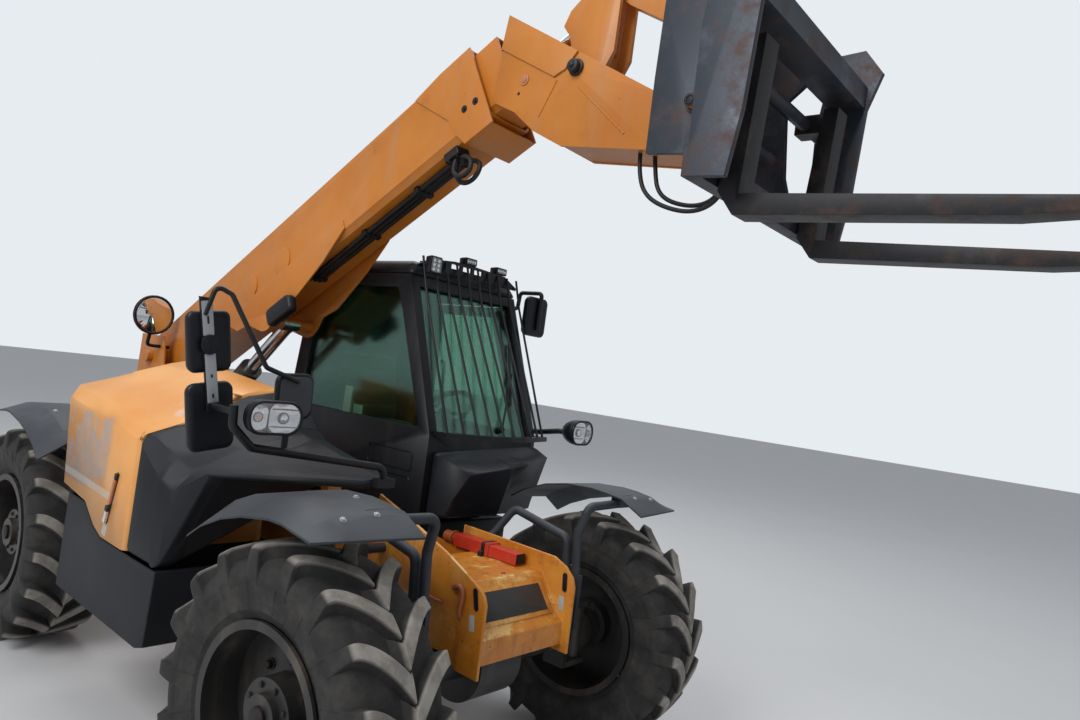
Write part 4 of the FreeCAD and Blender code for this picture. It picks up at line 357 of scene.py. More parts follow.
finishes["bonnet_paint"] = bonnet_finish()

# %% [markdown]
# Plastic covers are matt and blue-black, with a fine moulded grain and pale dust in clouds. Faces that look
# up are paler, partly from dust and partly from a painted highlight.
# Rubber is duller still. Bare steel on the carriage and forks has worn to dark metal with rust.

# %% Plastic, rubber and bare steel
def moulded(name, colour, dust_and_highlight, roughness):
    """Grained plastic with dust in clouds, paler on faces that look up: dust and a painted highlight."""
    made = Finish(name)
    clouds = made.noise(3.0, 6.0, 0.65).step(0.35, 0.80)
    # Faces that look up get the paler colour: partly settled dust, partly a painted highlight.
    upward = made.facing("Z").step(0.2, 1.0)
    base = made.mix(clouds * 0.5 + upward * 0.35, colour, dust_and_highlight)
    grain = made.noise(700.0, 2.0)
    scuffs = made.noise(18.0, 8.0, 0.7, (1, 1, 3)).step(0.66, 0.74)
    base = made.mix(scuffs * 0.35, base, dust_and_highlight)
    relief = made.bump(grain, 0.18, 0.0008)
    gloss = roughness + clouds * 0.12 + scuffs * 0.1
    return made.surface(base, gloss, Normal=relief, Specular_IOR_Level=0.32)


def bare_steel(name, colour, bright, rusting):
    """Steel with its mill grey, brighter rubbed patches and rust that spreads in clouds."""
    made = Finish(name)
    rubbed = made.noise(4.0, 7.0, 0.65).step(0.52, 0.75)
    rusted = made.noise(6.5, 9.0, 0.72).step(0.58 - 0.14 * rusting, 0.76)
    grain = made.noise(90.0, 6.0, 0.7)
    base = made.mix(rubbed * 0.6, colour, bright)
    base = made.mix(rusted * rusting, base, (0.13, 0.052, 0.028, 1))
    relief = made.bump(grain * 0.5 + rusted * 0.5, 0.3, 0.002)
    return made.surface(base, 0.42 + rusted * 0.4 + grain * 0.1, Normal=relief, Metallic=0.55 - rusted * 0.45)


def rubber_tyre():
    """Black rubber. The worn attribute is one on the bars' tops, where dry mud and wear make it tan-grey."""
    made = Finish("tyre_rubber")
    worn = made.attribute("worn")
    patches = made.noise(9.0, 7.0, 0.65)
    side = made.mix(patches.step(0.35, 0.8), (0.012, 0.012, 0.012, 1), (0.050, 0.045, 0.040, 1))
    top = made.mix(patches.step(0.3, 0.7), (0.20, 0.18, 0.155, 1), (0.37, 0.34, 0.30, 1))
    base = made.mix(worn * (0.55 + patches * 0.5), side, top)
    relief = made.bump(made.noise(60.0, 8.0, 0.7), 0.35, 0.004)
    return made.surface(base, 0.72 + patches * 0.2, Normal=relief)


# Each row: finish, name of its material, colour, colour of dust and painted highlight, roughness.
for slot, name, colour, dust_and_highlight, roughness in (
    ("black_plastic", "cover_plastic", (0.006, 0.007, 0.010, 1), (0.020, 0.022, 0.028, 1), 0.5),
    ("mudguard_plastic", "mudguard_plastic", (0.026, 0.030, 0.038, 1), (0.090, 0.098, 0.110, 1), 0.5),
    ("mirror_black", "housing_plastic", (0.005, 0.006, 0.009, 1), (0.014, 0.017, 0.024, 1), 0.38),
    ("hose_rubber", "hose_rubber", (0.010, 0.010, 0.011, 1), (0.040, 0.038, 0.036, 1), 0.45),
    ("grey_plastic", "grey_plastic", (0.050, 0.054, 0.064, 1), (0.085, 0.090, 0.100, 1), 0.45),
    ("plate_black", "blank_plate", (0.012, 0.015, 0.018, 1), (0.050, 0.046, 0.042, 1), 0.42),
    ("pale_label", "pale_label", (0.42, 0.41, 0.37, 1), (0.22, 0.20, 0.17, 1), 0.5),
):
    finishes[slot] = moulded(name, colour, dust_and_highlight, roughness)
# Each row: finish, name of its material, colour, colour where it is rubbed bright, share of rust.
for slot, name, colour, bright, rusting in (
    ("worn_steel", "carriage_steel", (0.042, 0.050, 0.064, 1), (0.15, 0.17, 0.20, 1), 0.85),
    ("dark_steel", "fork_steel", (0.020, 0.020, 0.022, 1), (0.085, 0.072, 0.060, 1), 0.65),
    ("zinc", "zinc_plate", (0.42, 0.43, 0.45, 1), (0.60, 0.61, 0.63, 1), 0.10),
):
    finishes[slot] = bare_steel(name, colour, bright, rusting)
finishes["tyre_rubber"] = rubber_tyre()
print(len(finishes), "finishes")

# %% [markdown]
# Glass, lamp faces, chrome and cloth behave differently from paint. Window glass here is a thin green
# film that lets most light through, so it is a mix of a clear and a glossy shader. Clear lamp glass
# covers a ribbed bright reflector.

# %% Glass, lamps, chrome and cloth
def window_glass():
    """Thin green glass: mostly see-through, glossier where it is seen at a slant, with a film of dust."""
    made = Finish("green_window_glass")
    tint = made.node("ShaderNodeBsdfTransparent", inputs={"Color": (0.60, 0.78, 0.70, 1)}).outputs[0]
    gloss = made.node("ShaderNodeBsdfGlossy", inputs={"Color": (0.78, 0.92, 0.88, 1), "Roughness": 0.12})
    slant = Value(made, made.node("ShaderNodeLayerWeight", inputs={"Blend": 0.35}).outputs["Fresnel"])
    film = made.noise(2.2, 6.0, 0.6).step(0.35, 0.85)
    inputs = {0: slant * 0.40 + film * 0.04 + 0.03, 1: tint, 2: gloss.outputs[0]}
    return made.finished(made.node("ShaderNodeMixShader", inputs=inputs).outputs[0])


def clear_lens(name, colour):
    """A clear cover: light passes it, and it shines at a slant. Fine ribs break the light up."""
    made = Finish(name)
    ribs = made.node("ShaderNodeTexWave", {"bands_direction": "Y"}, {"Vector": made.place, "Scale": 38.0})
    relief = made.bump(Value(made, ribs.outputs["Fac"]), 0.35, 0.003)
    return made.surface(colour, 0.04, Alpha=0.16, Normal=relief, Coat_Weight=1.0)


def mirror_metal(name, colour, roughness, smear):
    """Polished metal with a few soft smears."""
    made = Finish(name)
    smears = made.noise(12.0, 6.0, 0.6, (1, 1, 4)).step(0.5, 0.8) * smear
    base = made.mix(smears, colour, (0.35, 0.33, 0.30, 1))
    relief = made.bump(made.noise(30.0, 3.0), 0.05, 0.002)
    return made.surface(base, roughness + smears * 0.3, Metallic=1.0 - smears * 0.5, Normal=relief)


def seat_cloth():
    """Dark brown woven cloth: two fine sets of ribs crossing, and paler dust on the worn middle."""
    made = Finish("seat_cloth")
    inputs = {"Vector": made.place, "Scale": 110.0, "Distortion": 1.0}
    warp, weft = (
        Value(made, made.node("ShaderNodeTexWave", {"bands_direction": way}, inputs).outputs["Fac"])
        for way in ("Y", "Z")
    )
    weave = warp * weft
    worn = made.noise(5.0, 6.0, 0.6).step(0.4, 0.75)
    base = made.mix(worn * 0.6 + weave * 0.25, (0.022, 0.015, 0.012, 1), (0.085, 0.058, 0.042, 1))
    relief = made.bump(weave, 0.4, 0.0012)
    return made.surface(base, 0.85 + weave * 0.1, Normal=relief, Sheen_Weight=0.3)


finishes["tinted_glass"] = window_glass()
finishes["lamp_lens"] = clear_lens("clear_lens", (0.92, 0.94, 0.95, 1))
finishes["amber_lens"] = clear_lens("amber_lens", (0.90, 0.30, 0.03, 1))
finishes["reflector"] = mirror_metal("lamp_reflector", (0.90, 0.90, 0.92, 1), 0.10, 0.3)
finishes["rod_chrome"] = mirror_metal("rod_chrome", (0.80, 0.80, 0.82, 1), 0.12, 0.6)
finishes["mirror_face"] = mirror_metal("mirror_face", (0.85, 0.87, 0.90, 1), 0.02, 0.1)
finishes["seat_fabric"] = seat_cloth()
print(len(finishes), "finishes")

# %% [markdown]
# A mesh made with numpy is an array of points and an array of faces. One function puts both into
# Blender, gives the piece its finish, and says which body it rides on. It is smooth where neighbouring
# faces meet at a small angle, and sharp elsewhere.

# %% From arrays to a piece
def piece(name, points, faces, finish, body, slot, sharp=35.0, floats=None):
    """Makes one mesh object from (n, 3) points and a list of face arrays, and lets it ride on a body."""
    mesh = bpy.data.meshes.new(name)
    rows = [row for block in faces for row in np.asarray(block).tolist()]
    mesh.from_pydata(np.asarray(points, float).tolist(), [], rows)
    for label, numbers in (floats or {}).items():
        mesh.attributes.new(label, "FLOAT", "POINT").data.foreach_set("value", np.asarray(numbers, float))
    return place_mesh(name, mesh, finish, body, sharp)


def place_mesh(name, mesh, finish, body, sharp=35.0):
    """Gives a mesh its finish and shading, and makes it a piece that rides on a body."""
    mesh.materials.clear()
    mesh.materials.append(finishes[finish])
    mesh.polygons.foreach_set("use_smooth", np.ones(len(mesh.polygons), bool))
    if sharp:
        mesh.set_sharp_from_angle(angle=math.radians(sharp))
    mesh.update()
    thing = bpy.data.objects.new(name, mesh)
    scene.collection.objects.link(thing)
    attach(thing, body)
    return thing


def grid_faces(rows, columns, close_rows=False, close_columns=False):
    """Quads between neighbouring points of a grid numbered row by row.

    A way that is closed joins its last points to its first.
    """
    row = np.arange(rows if close_rows else rows - 1)[:, None]
    column = np.arange(columns if close_columns else columns - 1)[None, :]
    after, beside = (row + 1) % rows, (column + 1) % columns
    row, after = row * columns, after * columns
    corners = np.broadcast_arrays(row + column, row + beside, after + beside, after + column)
    return np.stack(corners, axis=-1).reshape(-1, 4)


def capped(points, rows, columns):
    """Points on rings, row by row, with the faces between the rings and a flat cap at either end."""
    ring = np.arange(columns)
    caps = [ring[::-1][None], ring[None] + len(points) - columns]
    return points, [grid_faces(rows, columns, close_columns=True)] + caps


def flipped(faces):
    """The same faces seen from their other side."""
    return [block[:, ::-1] for block in faces]


def joined(parts):
    """Several (points, faces) pairs as one pair, with the later faces' numbers moved up."""
    points, faces, count = [], [], 0
    for spots, blocks in parts:
        points.append(np.asarray(spots))
        faces += [np.asarray(block) + count for block in blocks]
        count += len(spots)
    return np.concatenate(points), faces


# The least radius at which a turned shape ends on its axis, in millimetres.
TIP = 1e-3


def turned_shape(profile, steps):
    """A profile of (along, radius) rows carried round X: points (along, radius cos a, radius sin a)."""
    along, radius = np.asarray(profile, float).T[..., None]
    radius = np.maximum(radius, TIP)
    angle = np.linspace(0, 2 * math.pi, steps, endpoint=False)
    grid = np.stack(np.broadcast_arrays(along, radius * np.cos(angle), radius * np.sin(angle)), axis=-1)
    return grid.reshape(-1, 3), [grid_faces(len(profile), steps, close_columns=True)]


def axes_to(direction, hint=(0.0, 0.0, 1.0)):
    """A 3 by 3 array whose rows are a direction and two more square to it, the last near the hint."""
    first = np.asarray(direction, float) / np.linalg.norm(direction)
    second = np.cross(hint, first)
    second /= np.linalg.norm(second)
    return np.stack([first, second, np.cross(first, second)])


def tube_along(path, radius, sides=14):
    """A round tube: at each path point a circle of the radius, square to the path's own direction there."""
    path = np.asarray(path, float)
    ahead = np.gradient(path, axis=0)
    ahead /= np.linalg.norm(ahead, axis=1)[:, None]
    hint = np.array([0.13, 0.21, 1.0]) if abs(ahead[:, 2]).mean() < 0.8 else np.array([1.0, 0.21, 0.13])
    side = np.cross(ahead, hint)
    side /= np.linalg.norm(side, axis=1)[:, None]
    over = np.cross(side, ahead)
    angle = np.linspace(0, 2 * math.pi, sides, endpoint=False)
    reach = np.broadcast_to(np.asarray(radius, float), len(path))[:, None, None]
    circle = side[:, None] * np.cos(angle)[:, None] - over[:, None] * np.sin(angle)[:, None]
    points = (path[:, None] + reach * circle).reshape(-1, 3)
    return points, flipped(capped(points, len(path), sides)[1])


def smooth_path(corners, steps=10):
    """A smooth line near given corners: the cubic B-spline with its ends held, steps places a corner."""
    corners = np.asarray(corners, float)
    held = np.concatenate([corners[:1]] * 2 + [corners] + [corners[-1:]] * 2)
    t = np.linspace(0, 1, steps, endpoint=False)[:, None]
    before, after = 3 * t**3 - 6 * t**2 + 4, -3 * t**3 + 3 * t**2 + 3 * t + 1
    weights = ((1 - t) ** 3 / 6, before / 6, after / 6, t**3 / 6)
    spans = [sum(w * held[i + k] for k, w in enumerate(weights)) for i in range(len(held) - 3)]
    return np.concatenate(spans + [corners[-1:]])


print("mesh helpers ready")

# %% [markdown]
# Many of the frame's solids already have the right shape, but every edge on them is razor sharp, and a
# real plate or cover has rounded edges that catch the light. A copy of such a solid is merged, its flat
# faces are joined, and a Bevel modifier rounds its edges. The copy then stands for the solid.

# %% Solids with rounded edges
# Area over perimeter, in metres, above which a face is broad and not a rim; the panels and the
# smallest fold in degrees that is rounded in each; the smallest one elsewhere.
RIM = 0.010
PANELS = {"bonnet": 12.0, "cowl": 12.0, "cab_nose_panel": 15.0}
FOLD = 30.0
FLAT, MERGED = math.radians(0.6), 2e-5


def rounded(node, width, finish):
    """A copy of a CAD node with its edges rounded to width metres, in place of the node.

    A thin panel's rim would hold every rounding down to half the panel's thickness. So a panel in
    PANELS has only the folds between its broad faces rounded, and its rim stays as it is.
    """
    mesh = frame["nodes"][node].data.copy()
    shell = bmesh.new()
    shell.from_mesh(mesh)
    bmesh.ops.remove_doubles(shell, verts=shell.verts, dist=MERGED)
    parts = {"verts": shell.verts, "edges": shell.edges}
    bmesh.ops.dissolve_limit(shell, angle_limit=FLAT, delimit={"NORMAL"}, **parts)
    if node in PANELS:
        weight = shell.edges.layers.float.new("bevel_weight_edge")
        least = math.radians(PANELS[node])
        for edge in shell.edges:
            broad = [face.calc_area() / face.calc_perimeter() > RIM for face in edge.link_faces]
            fold = len(broad) == 2 and all(broad) and edge.calc_face_angle(0.0) > least
            edge[weight] = float(fold)
    shell.to_mesh(mesh)
    shell.free()
    thing = place_mesh(node + "_dressed", mesh, finish, body_of[node], sharp=0)
    bevel = thing.modifiers.new("rounded_edges", "BEVEL")
    bevel.width = width
    bevel.segments = 3
    bevel.limit_method = "WEIGHT" if node in PANELS else "ANGLE"
    bevel.use_clamp_overlap = node not in PANELS
    bevel.angle_limit = math.radians(FOLD)
    bevel.harden_normals = True
    bevel.miter_outer = "MITER_ARC"
    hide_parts(node)


bodies = frame["record"]["behaviour"]["bodies"]
body_of = {node: body for body, members in bodies.items() for node in members}
slot_of = {row["node"]: row["material_slot"] for row in frame["record"]["subparts"]}
# Each row: node, radius of its edges in metres, finish.
ROUNDED = (
    ("chassis_frame", 0.004, "body_paint"),
    ("nose_frame", 0.004, "nose_paint"),
    ("safety_strut", 0.005, "red_paint"),
    ("counterweight", 0.020, "body_paint"),
    ("engine_skirt", 0.016, "black_plastic"),
    ("bonnet", 0.034, "bonnet_paint"),
    ("cowl", 0.030, "black_plastic"),
    ("cab_shell", 0.008, "cab_paint"),
    ("cab_roof", 0.030, "cab_paint"),
    ("cab_nose_panel", 0.020, "black_plastic"),
    ("mudguards_front", 0.003, "mudguard_plastic"),
    ("mudguards_rear", 0.003, "mudguard_plastic"),
    ("boom_outer", 0.004, "body_paint"),
    ("boom_inner", 0.004, "body_paint"),
    ("tilt_lever", 0.004, "body_paint"),
    ("tilt_link", 0.005, "body_paint"),
    ("carriage", 0.004, "worn_steel"),
    ("forks", 0.006, "dark_steel"),
    ("side_tank", 0.015, "black_plastic"),
    ("cab_door", 0.006, "cab_paint"),
)
for row in ROUNDED:
    rounded(*row)
PLAIN = {
    "dark_paint": ("front_axle", "rear_axle", "engine_block", "lift_barrel", "tilt_barrel"),
    "tinted_glass": ("cab_glass", "door_glass"),
    "cab_paint": ("windscreen_guard", "mirror_arms"),
    "rod_chrome": ("lift_rod", "tilt_rod"),
    "hose_rubber": ("boom_hoses",),
    "black_plastic": ("seat_base", "steering_column"),
    "seat_fabric": ("seat",),
}
CORNERS = ("front_left", "front_right", "rear_left", "rear_right")
for corner in CORNERS:
    PLAIN["dark_paint"] += ("knuckle_" + corner, "rim_" + corner)
    PLAIN["hose_rubber"] += ("tyre_" + corner,)
for finish, members in PLAIN.items():
    for node in members:
        materials = frame["nodes"][node].data.materials
        materials.clear()
        materials.append(finishes[finish])
print(len(ROUNDED), "solids rounded")

# %% [markdown]
# A tractor tyre is one surface: a ring of profiles from one bead over the tread to the other. Its bars
# rise where a mask is one. The columns of the grid follow the bars' curve, so that each bar has clean
# edges: a bar starts square across at the shoulder and swings forward towards the tread's middle. The
# two halves are half a bar's pitch out of step.

# %% Tyres
BARS = 18
BAR_HALF, BAR_FLANK, BAR_SWING, TREAD_HALF, BAR_OVERLAP, BAR_END = 25.0, 10.0, 168.0, 200.0, 12.0, 8
TOP_RADIUS, WORN_RADIUS = 598, 575
# Half profiles from the tread's middle to the bead: distance across and radius, in millimetres.
BEAD_HALF = ((203, 380), (190, 350), (184, 334))
GROOVE_HALF = ((0, 556), (60, 555), (120, 551), (165, 543), (194, 527), (209, 500), (216, 465), (214, 425))
BAR_TOP_HALF = ((0, 599), (60, 599), (120, 598), (168, 595), (203, 590), (213, 560), (218, 510), (216, 462))
# Two beads round the side wall: radius, width, height; and the side wall's own set-back below a radius.
SIDE_BEADS = ((432, 5, 3.5), (366, 8, 5.0))
SIDE_RADIUS, SIDE_SET_BACK = 460, 4.5


def both_halves(half):
    """A half profile with its mirror image, from bead to bead, as one smooth line."""
    half = np.asarray(half + BEAD_HALF, float)
    return smooth_path(np.concatenate([half[::-1] * (-1, 1), half[1:]]), 4)


def tyre_points():
    """Points of a tyre about its own middle, in metres: across, ahead and up. The bars' tops are marked.

    On a row at distance w across, the bar's line swings ahead by BAR_SWING times (1 - w / TREAD_HALF) to
    the power 1.6. A point is the groove profile, moved to the bar-top profile where the mask is one.
    """
    groove, top = both_halves(GROOVE_HALF), both_halves(BAR_TOP_HALF)
    across, radius = top[:, 0], top[:, 1]
    left = np.clip(1 - np.abs(across) / TREAD_HALF, 0, 1)
    swing = BAR_SWING * left**1.6 / TOP_RADIUS
    slope = 1.6 * BAR_SWING / TREAD_HALF * left**0.6
    widen = np.sqrt(1 + slope**2) / radius
    half, flank = (BAR_HALF * widen)[:, None], (BAR_FLANK * widen)[:, None]
    pitch = math.pi / BARS
    inner = np.concatenate([half * (0, 0.5, 0.92, 1), half + flank * (0.35, 0.75, 1)], axis=1)
    middle = np.full((len(across), 1), pitch / 2)
    period = np.concatenate([inner, middle, pitch - inner[:, :0:-1]], axis=1)
    steps = np.arange(2 * BARS) * pitch
    angle = (steps[None, :, None] + period[:, None, :]).reshape(len(across), -1) + swing[:, None]
    rise = np.array([1, 1, 1, 0.97, 0.72, 0.18, 0, 0, 0, 0.18, 0.72, 0.97, 1, 1])
    owner = np.array([0] * 8 + [1] * 6)
    side = 1 - 2 * ((np.arange(2 * BARS)[:, None] + owner[None]) % 2)
    reach = np.clip((across[:, None, None] * side[None] + BAR_OVERLAP + BAR_END) / BAR_END, 0, 1)
    mask = (rise[None, None] * reach).reshape(len(across), -1)
    profile = groove[:, None] + mask[..., None] * (top - groove)[:, None]
    wide, far = profile[..., 0], profile[..., 1]
    ring = sum(high * np.exp(-(((far - middle) / width) ** 2)) for middle, width, high in SIDE_BEADS)
    wide = wide + np.sign(wide) * (ring - SIDE_SET_BACK * (far < SIDE_RADIUS))
    spots = np.stack([wide, far * np.sin(angle), far * np.cos(angle)], axis=-1)
    worn = np.clip(mask * 4 - 3, 0, 1) * np.clip((far - WORN_RADIUS) / 12, 0, 1)
    return spots / 1000, worn


spots, worn = tyre_points()
rows, columns = spots.shape[:2]
for corner in CORNERS:
    spin = joints["wheel_spin_" + corner]
    axle = np.asarray(spin["axis"], float)
    axes = np.stack([axle, np.cross(axle, (0, 0, 1)), (0, 0, 1)])
    points = spots.reshape(-1, 3) @ axes + np.asarray(spin["pos_m"])
    faces = flipped([grid_faces(rows, columns, close_columns=True)])
    looks = ("tyre_rubber", "wheel_" + corner, "tyre_rubber")
    tyre = piece(corner + "_tyre_tread", points, faces, *looks, floats={"worn": worn.ravel()})
    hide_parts("tyre_" + corner)
print("tyre:", rows, "by", columns, "points")

# %% [markdown]
# Most small parts are pads, rods or bolts that sit on a larger solid. A pad is a rounded outline drawn out
# along a direction, with softened edges and, if wanted, a crowned face. To seat small parts exactly, a
# ray is sent at the solid below, and the place and direction of the face that it meets are read.

# %% Pads, bolts and seats for them
def outline(half_across, half_up, corner, steps=7):
    """A rectangle with rounded corners, anticlockwise: four quarter circles one after another."""
    corner = min(corner, half_across, half_up)
    quarter = np.linspace(0, math.pi / 2, steps)
    rings = []
    for turn, (across, high) in enumerate(((1, 1), (-1, 1), (-1, -1), (1, -1))):
        angle = quarter + turn * math.pi / 2
        middle = np.array([across * (half_across - corner), high * (half_up - corner)])
        rings.append(middle + corner * np.stack([np.cos(angle), np.sin(angle)], axis=-1))
    return np.concatenate(rings)


def pad(middle, normal, hint, half_across, half_up, depth, corner, edge=2.0, crown=0.0, steps=7):
    """A pad on a face, its middle swollen by the crown: sizes in millimetres, middle in metres."""
    flat = outline(half_across, half_up, corner, steps)
    size = np.array([half_across, half_up])
    near = 0.3 * edge
    rings = [(edge, 0), (near, near), (0, edge), (0, depth - edge), (near, depth - near), (edge, depth)]
    rows = [np.column_stack([np.full(len(flat), rise), flat * (1 - inset / size)]) for inset, rise in rings]
    if crown:
        for share in (0.9, 0.75, 0.55, 0.3, 0.1):
            rise = depth + crown * (1 - (share / 0.97) ** 2)
            rows.append(np.column_stack([np.full(len(flat), rise), flat * (1 - edge / size) * share]))
    points = np.concatenate(rows) / 1000 @ axes_to(normal, hint) + middle
    return capped(points, len(rows), len(flat))


def rim_ring(middle, normal, hint, half_across, half_up, corner, radius):
    """A round bead that follows a rounded outline, radius in millimetres."""
    sides = 10
    flat = outline(half_across, half_up, corner)
    line = np.column_stack([np.zeros(len(flat)), flat])
    out = flat / np.linalg.norm(flat, axis=1)[:, None]
    angle = np.linspace(0, 2 * math.pi, sides, endpoint=False)
    swell = np.broadcast_arrays(np.sin(angle), *(out[:, k : k + 1] * np.cos(angle) for k in (0, 1)))
    bead = (line[:, None] + radius * np.stack(swell, -1)).reshape(-1, 3)
    return bead / 1000 @ axes_to(normal, hint) + middle, [grid_faces(len(flat), sides, True, True)]


def bolt(middle, normal, radius, height):
    """A six-sided head with a chamfered top on a round washer: sizes in millimetres, middle in metres."""
    axes = axes_to(normal, (0.1, 0.2, 1.0) if abs(normal[2]) < 0.9 else (1.0, 0.2, 0.1))
    scale = (height, radius)
    washer = turned_shape(np.array([(0, 0), (0, 1.45), (0.22, 1.4), (0.25, 1)]) * scale, 24)
    head = turned_shape(np.array([(0.2, 1), (0.88, 1), (1, 0.84), (1, 0)]) * scale, 6)
    points, faces = joined([washer, head])
    return points / 1000 @ axes + middle, flipped(faces)


def turned_about(place, profile, steps):
    """A turned shape with its axis along X, its profile in millimetres, at a place in metres."""
    points, faces = turned_shape(profile, steps)
    return points / 1000 + place, flipped(faces)


trees = {}


def seated(node, place, direction):
    """Where a ray from a place, in metres, first meets a CAD node, and the face's direction there."""
    if node not in trees:
        shell = bmesh.new()
        shell.from_mesh(frame["nodes"][node].data)
        trees[node] = BVHTree.FromBMesh(shell)
        shell.free()
    spot, normal, _, _ = trees[node].ray_cast(tuple(place), tuple(direction))
    if spot is None:
        raise ValueError("no face of " + node + " behind " + str(place))
    return np.array(spot), np.array(normal)


def many(name, parts, finish, slot, body="chassis", sharp=35.0):
    """Several shapes of one finish as one piece."""
    return piece(name, *joined(parts), finish, body, slot, sharp)


print("small shapes ready")

# %% [markdown]
# The housings of lamps and mirrors are moulded shells: one rounded outline at several depths, larger in
# the middle and drawn in at both ends. They stand for the plainer blocks of the frame.

# %% Housings
def moulding(rear, normal, hint, half_across, half_up, corner, stations):
    """A closed shell from an outline scaled at each (depth, scale) station, sizes in millimetres."""
    flat = outline(half_across, half_up, corner, 9)
    rows = [np.column_stack([np.full(len(flat), depth), flat * scale]) for depth, scale in stations]
    points = np.concatenate(rows) / 1000 @ axes_to(normal, hint) + rear
    return capped(points, len(rows), len(flat))


# Rows of depth in millimetres and scale of the outline there.
MIRROR_STATIONS = np.array(
    [(0, 0.86), (2, 0.90), (14, 0.955), (30, 0.98), (40, 0.965), (46, 0.92), (49, 0.84), (50, 0.70)]
)
LAMP_STATIONS = np.array(
    [(0, 0.42), (6, 0.54), (25, 0.70), (50, 0.85), (75, 0.95), (100, 0.985), (107, 0.98), (109, 0.955)]
)
AHEAD, UPWARD, INWARD = np.array([1.0, 0, 0]), (0, 0, 1), (0, 1, 0)
# Each row: name, face of the glass along X, y, z, half width, half height, outward lean, corner radius.
MIRRORS = (
    ("upper", -632.5, -1143, 1865, 90, 126, 0.17, 32),
    ("lower", -632.5, -1094, 1567, 97, 142, 0.17, 38),
    ("inner", -520.5, -795, 1680, 90, 100, 0.05, 40),
    ("left", -926.5, 1140, 2285, 100, 130, 0.0, 34),
)
shells = []
for name, x, y, z, half, high, lean, corner in MIRRORS:
    stations = MIRROR_STATIONS * (0.8 if name == "inner" else 1, 1)
    shells.append(moulding(at(x, y, z), AHEAD, (0, -lean, 1), half, high, corner, stations))
drum = ((0, 0), (0, 90), (4, 118), (14, 134), (26, 134), (29, 130), (29, 0))
shells.append(turned_about(at(-3059.5, -330, 1970), drum, 64))
post = ((-3080, -181, 1760), (-3080, -250, 1760), (-3080, -325, 1760))
post += ((-3079, -331, 1775), (-3045, -330, 1880), (-3045, -330, 1910))
shells.append(tube_along(smooth_path(places(post), 8), 0.012))
housings = many("mirror_housings", shells, "mirror_black", "mirror_black", sharp=50)
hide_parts("mirror_heads")
# Each row: rear of a head lamp along X, its depth, y, z, half width, half height.
shells = []
for x, deep, y, z, half, high in ((-425, 105, -978, 1604, 119, 69), (-469.5, 109, 1083, 1604, 103, 75)):
    stations = LAMP_STATIONS * (deep / LAMP_STATIONS[-1, 0], 1)
    shells.append(moulding(at(x, y, z), AHEAD, UPWARD, half, high, 0.9 * high, stations))
# Each row: the middle of a small bracket's rear face, half width, half height, depth.
for spot, half, high, deep in (((-374, -891, 1525.2), 11, 44.8, 16), ((-984, 244, 2443), 11, 11, 54)):
    shells.append(pad(at(*spot), AHEAD, UPWARD, half, high, deep, 4, 1.5))
# Each row: rear of a work lamp, its depth, y, z, half width, half height.
for x, deep, y, z, half, high in (
    (-942, 50, 238, 2446, 44, 50),
    (-1040, 60, 590, 2534.3, 50, 22),
    (-1040, 60, 860, 2528, 50, 22),
):
    stations = ((0, 0.84), (3, 0.90), (0.5 * deep, 0.97), (deep - 3, 1.0), (deep, 0.96))
    shells.append(moulding(at(x, y, z), AHEAD, UPWARD, half, high, 9, stations))
housings = many("lamp_housings", shells, "mirror_black", slot_of["lamps"], sharp=50)
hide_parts("lamps")
print(len(MIRRORS) + 1, "mirror housings, 5 lamp housings")

# %% [markdown]
# Each wheel has eight nuts on its disc and eight bolts on the hub's face. They turn with the wheel, so
# they are laid round its own axle.

# %% Wheel nuts and hub bolts
# Each row: radius of the ring, its face along the axle, radius and height of a head, first angle.
HEAD_RINGS = ((172.0, 46.0, 15, 24, 0.0), (104.0, 140.0, 9, 9, 0.4))
HUB_END, HEADS = 0.168, 8
for corner in CORNERS:
    spin = joints["wheel_spin_" + corner]
    outward = np.asarray(spin["axis"], float) * (1 if "left" in corner else -1)
    middle = np.asarray(spin["pos_m"])
    heads = []
    for number in range(HEADS):
        for ring, face, radius, height, lead in HEAD_RINGS:
            turn = number * 2 * math.pi / HEADS + lead
            spot = np.array([face, ring * math.cos(turn), ring * math.sin(turn)]) / 1000
            heads.append(bolt(spot @ axes_to(outward) + middle, outward, radius, height))
    heads.append(pad(middle + outward * HUB_END, outward, UPWARD, 40, 40, 14, 40, 4, 5))
    many("wheel_nuts_" + corner, heads, "dark_steel", slot_of["rim_" + corner], "wheel_" + corner)
print("64 nuts and bolts")

# %% [markdown]
# A lamp is a black rim round bright bowls, with a clear ribbed cover over them. The bowls are made as
# rings of an outline that rise towards their edge, with facets that break the reflection up.

# %% Lamps
def bowl(middle, normal, hint, half_across, half_up, corner, depth, facets):
    """A dished reflector: rings whose height grows with the square of their size, lightly faceted."""
    flat = outline(half_across, half_up, corner, 9)
    share = np.linspace(0.04, 1, 12)[:, None]
    angle = np.arctan2(flat[:, 1], flat[:, 0])[None]
    rise = depth * share**2 + 1.2 * share * np.sin(facets * angle) * np.cos(share * 9)
    spread = share[..., None] * flat[None]
    points = np.concatenate([rise[..., None], spread], axis=-1).reshape(-1, 3) / 1000
    faces = flipped([grid_faces(len(share), len(flat), close_columns=True)])
    return points @ axes_to(normal, hint) + middle, faces + [np.arange(len(flat))[None]]


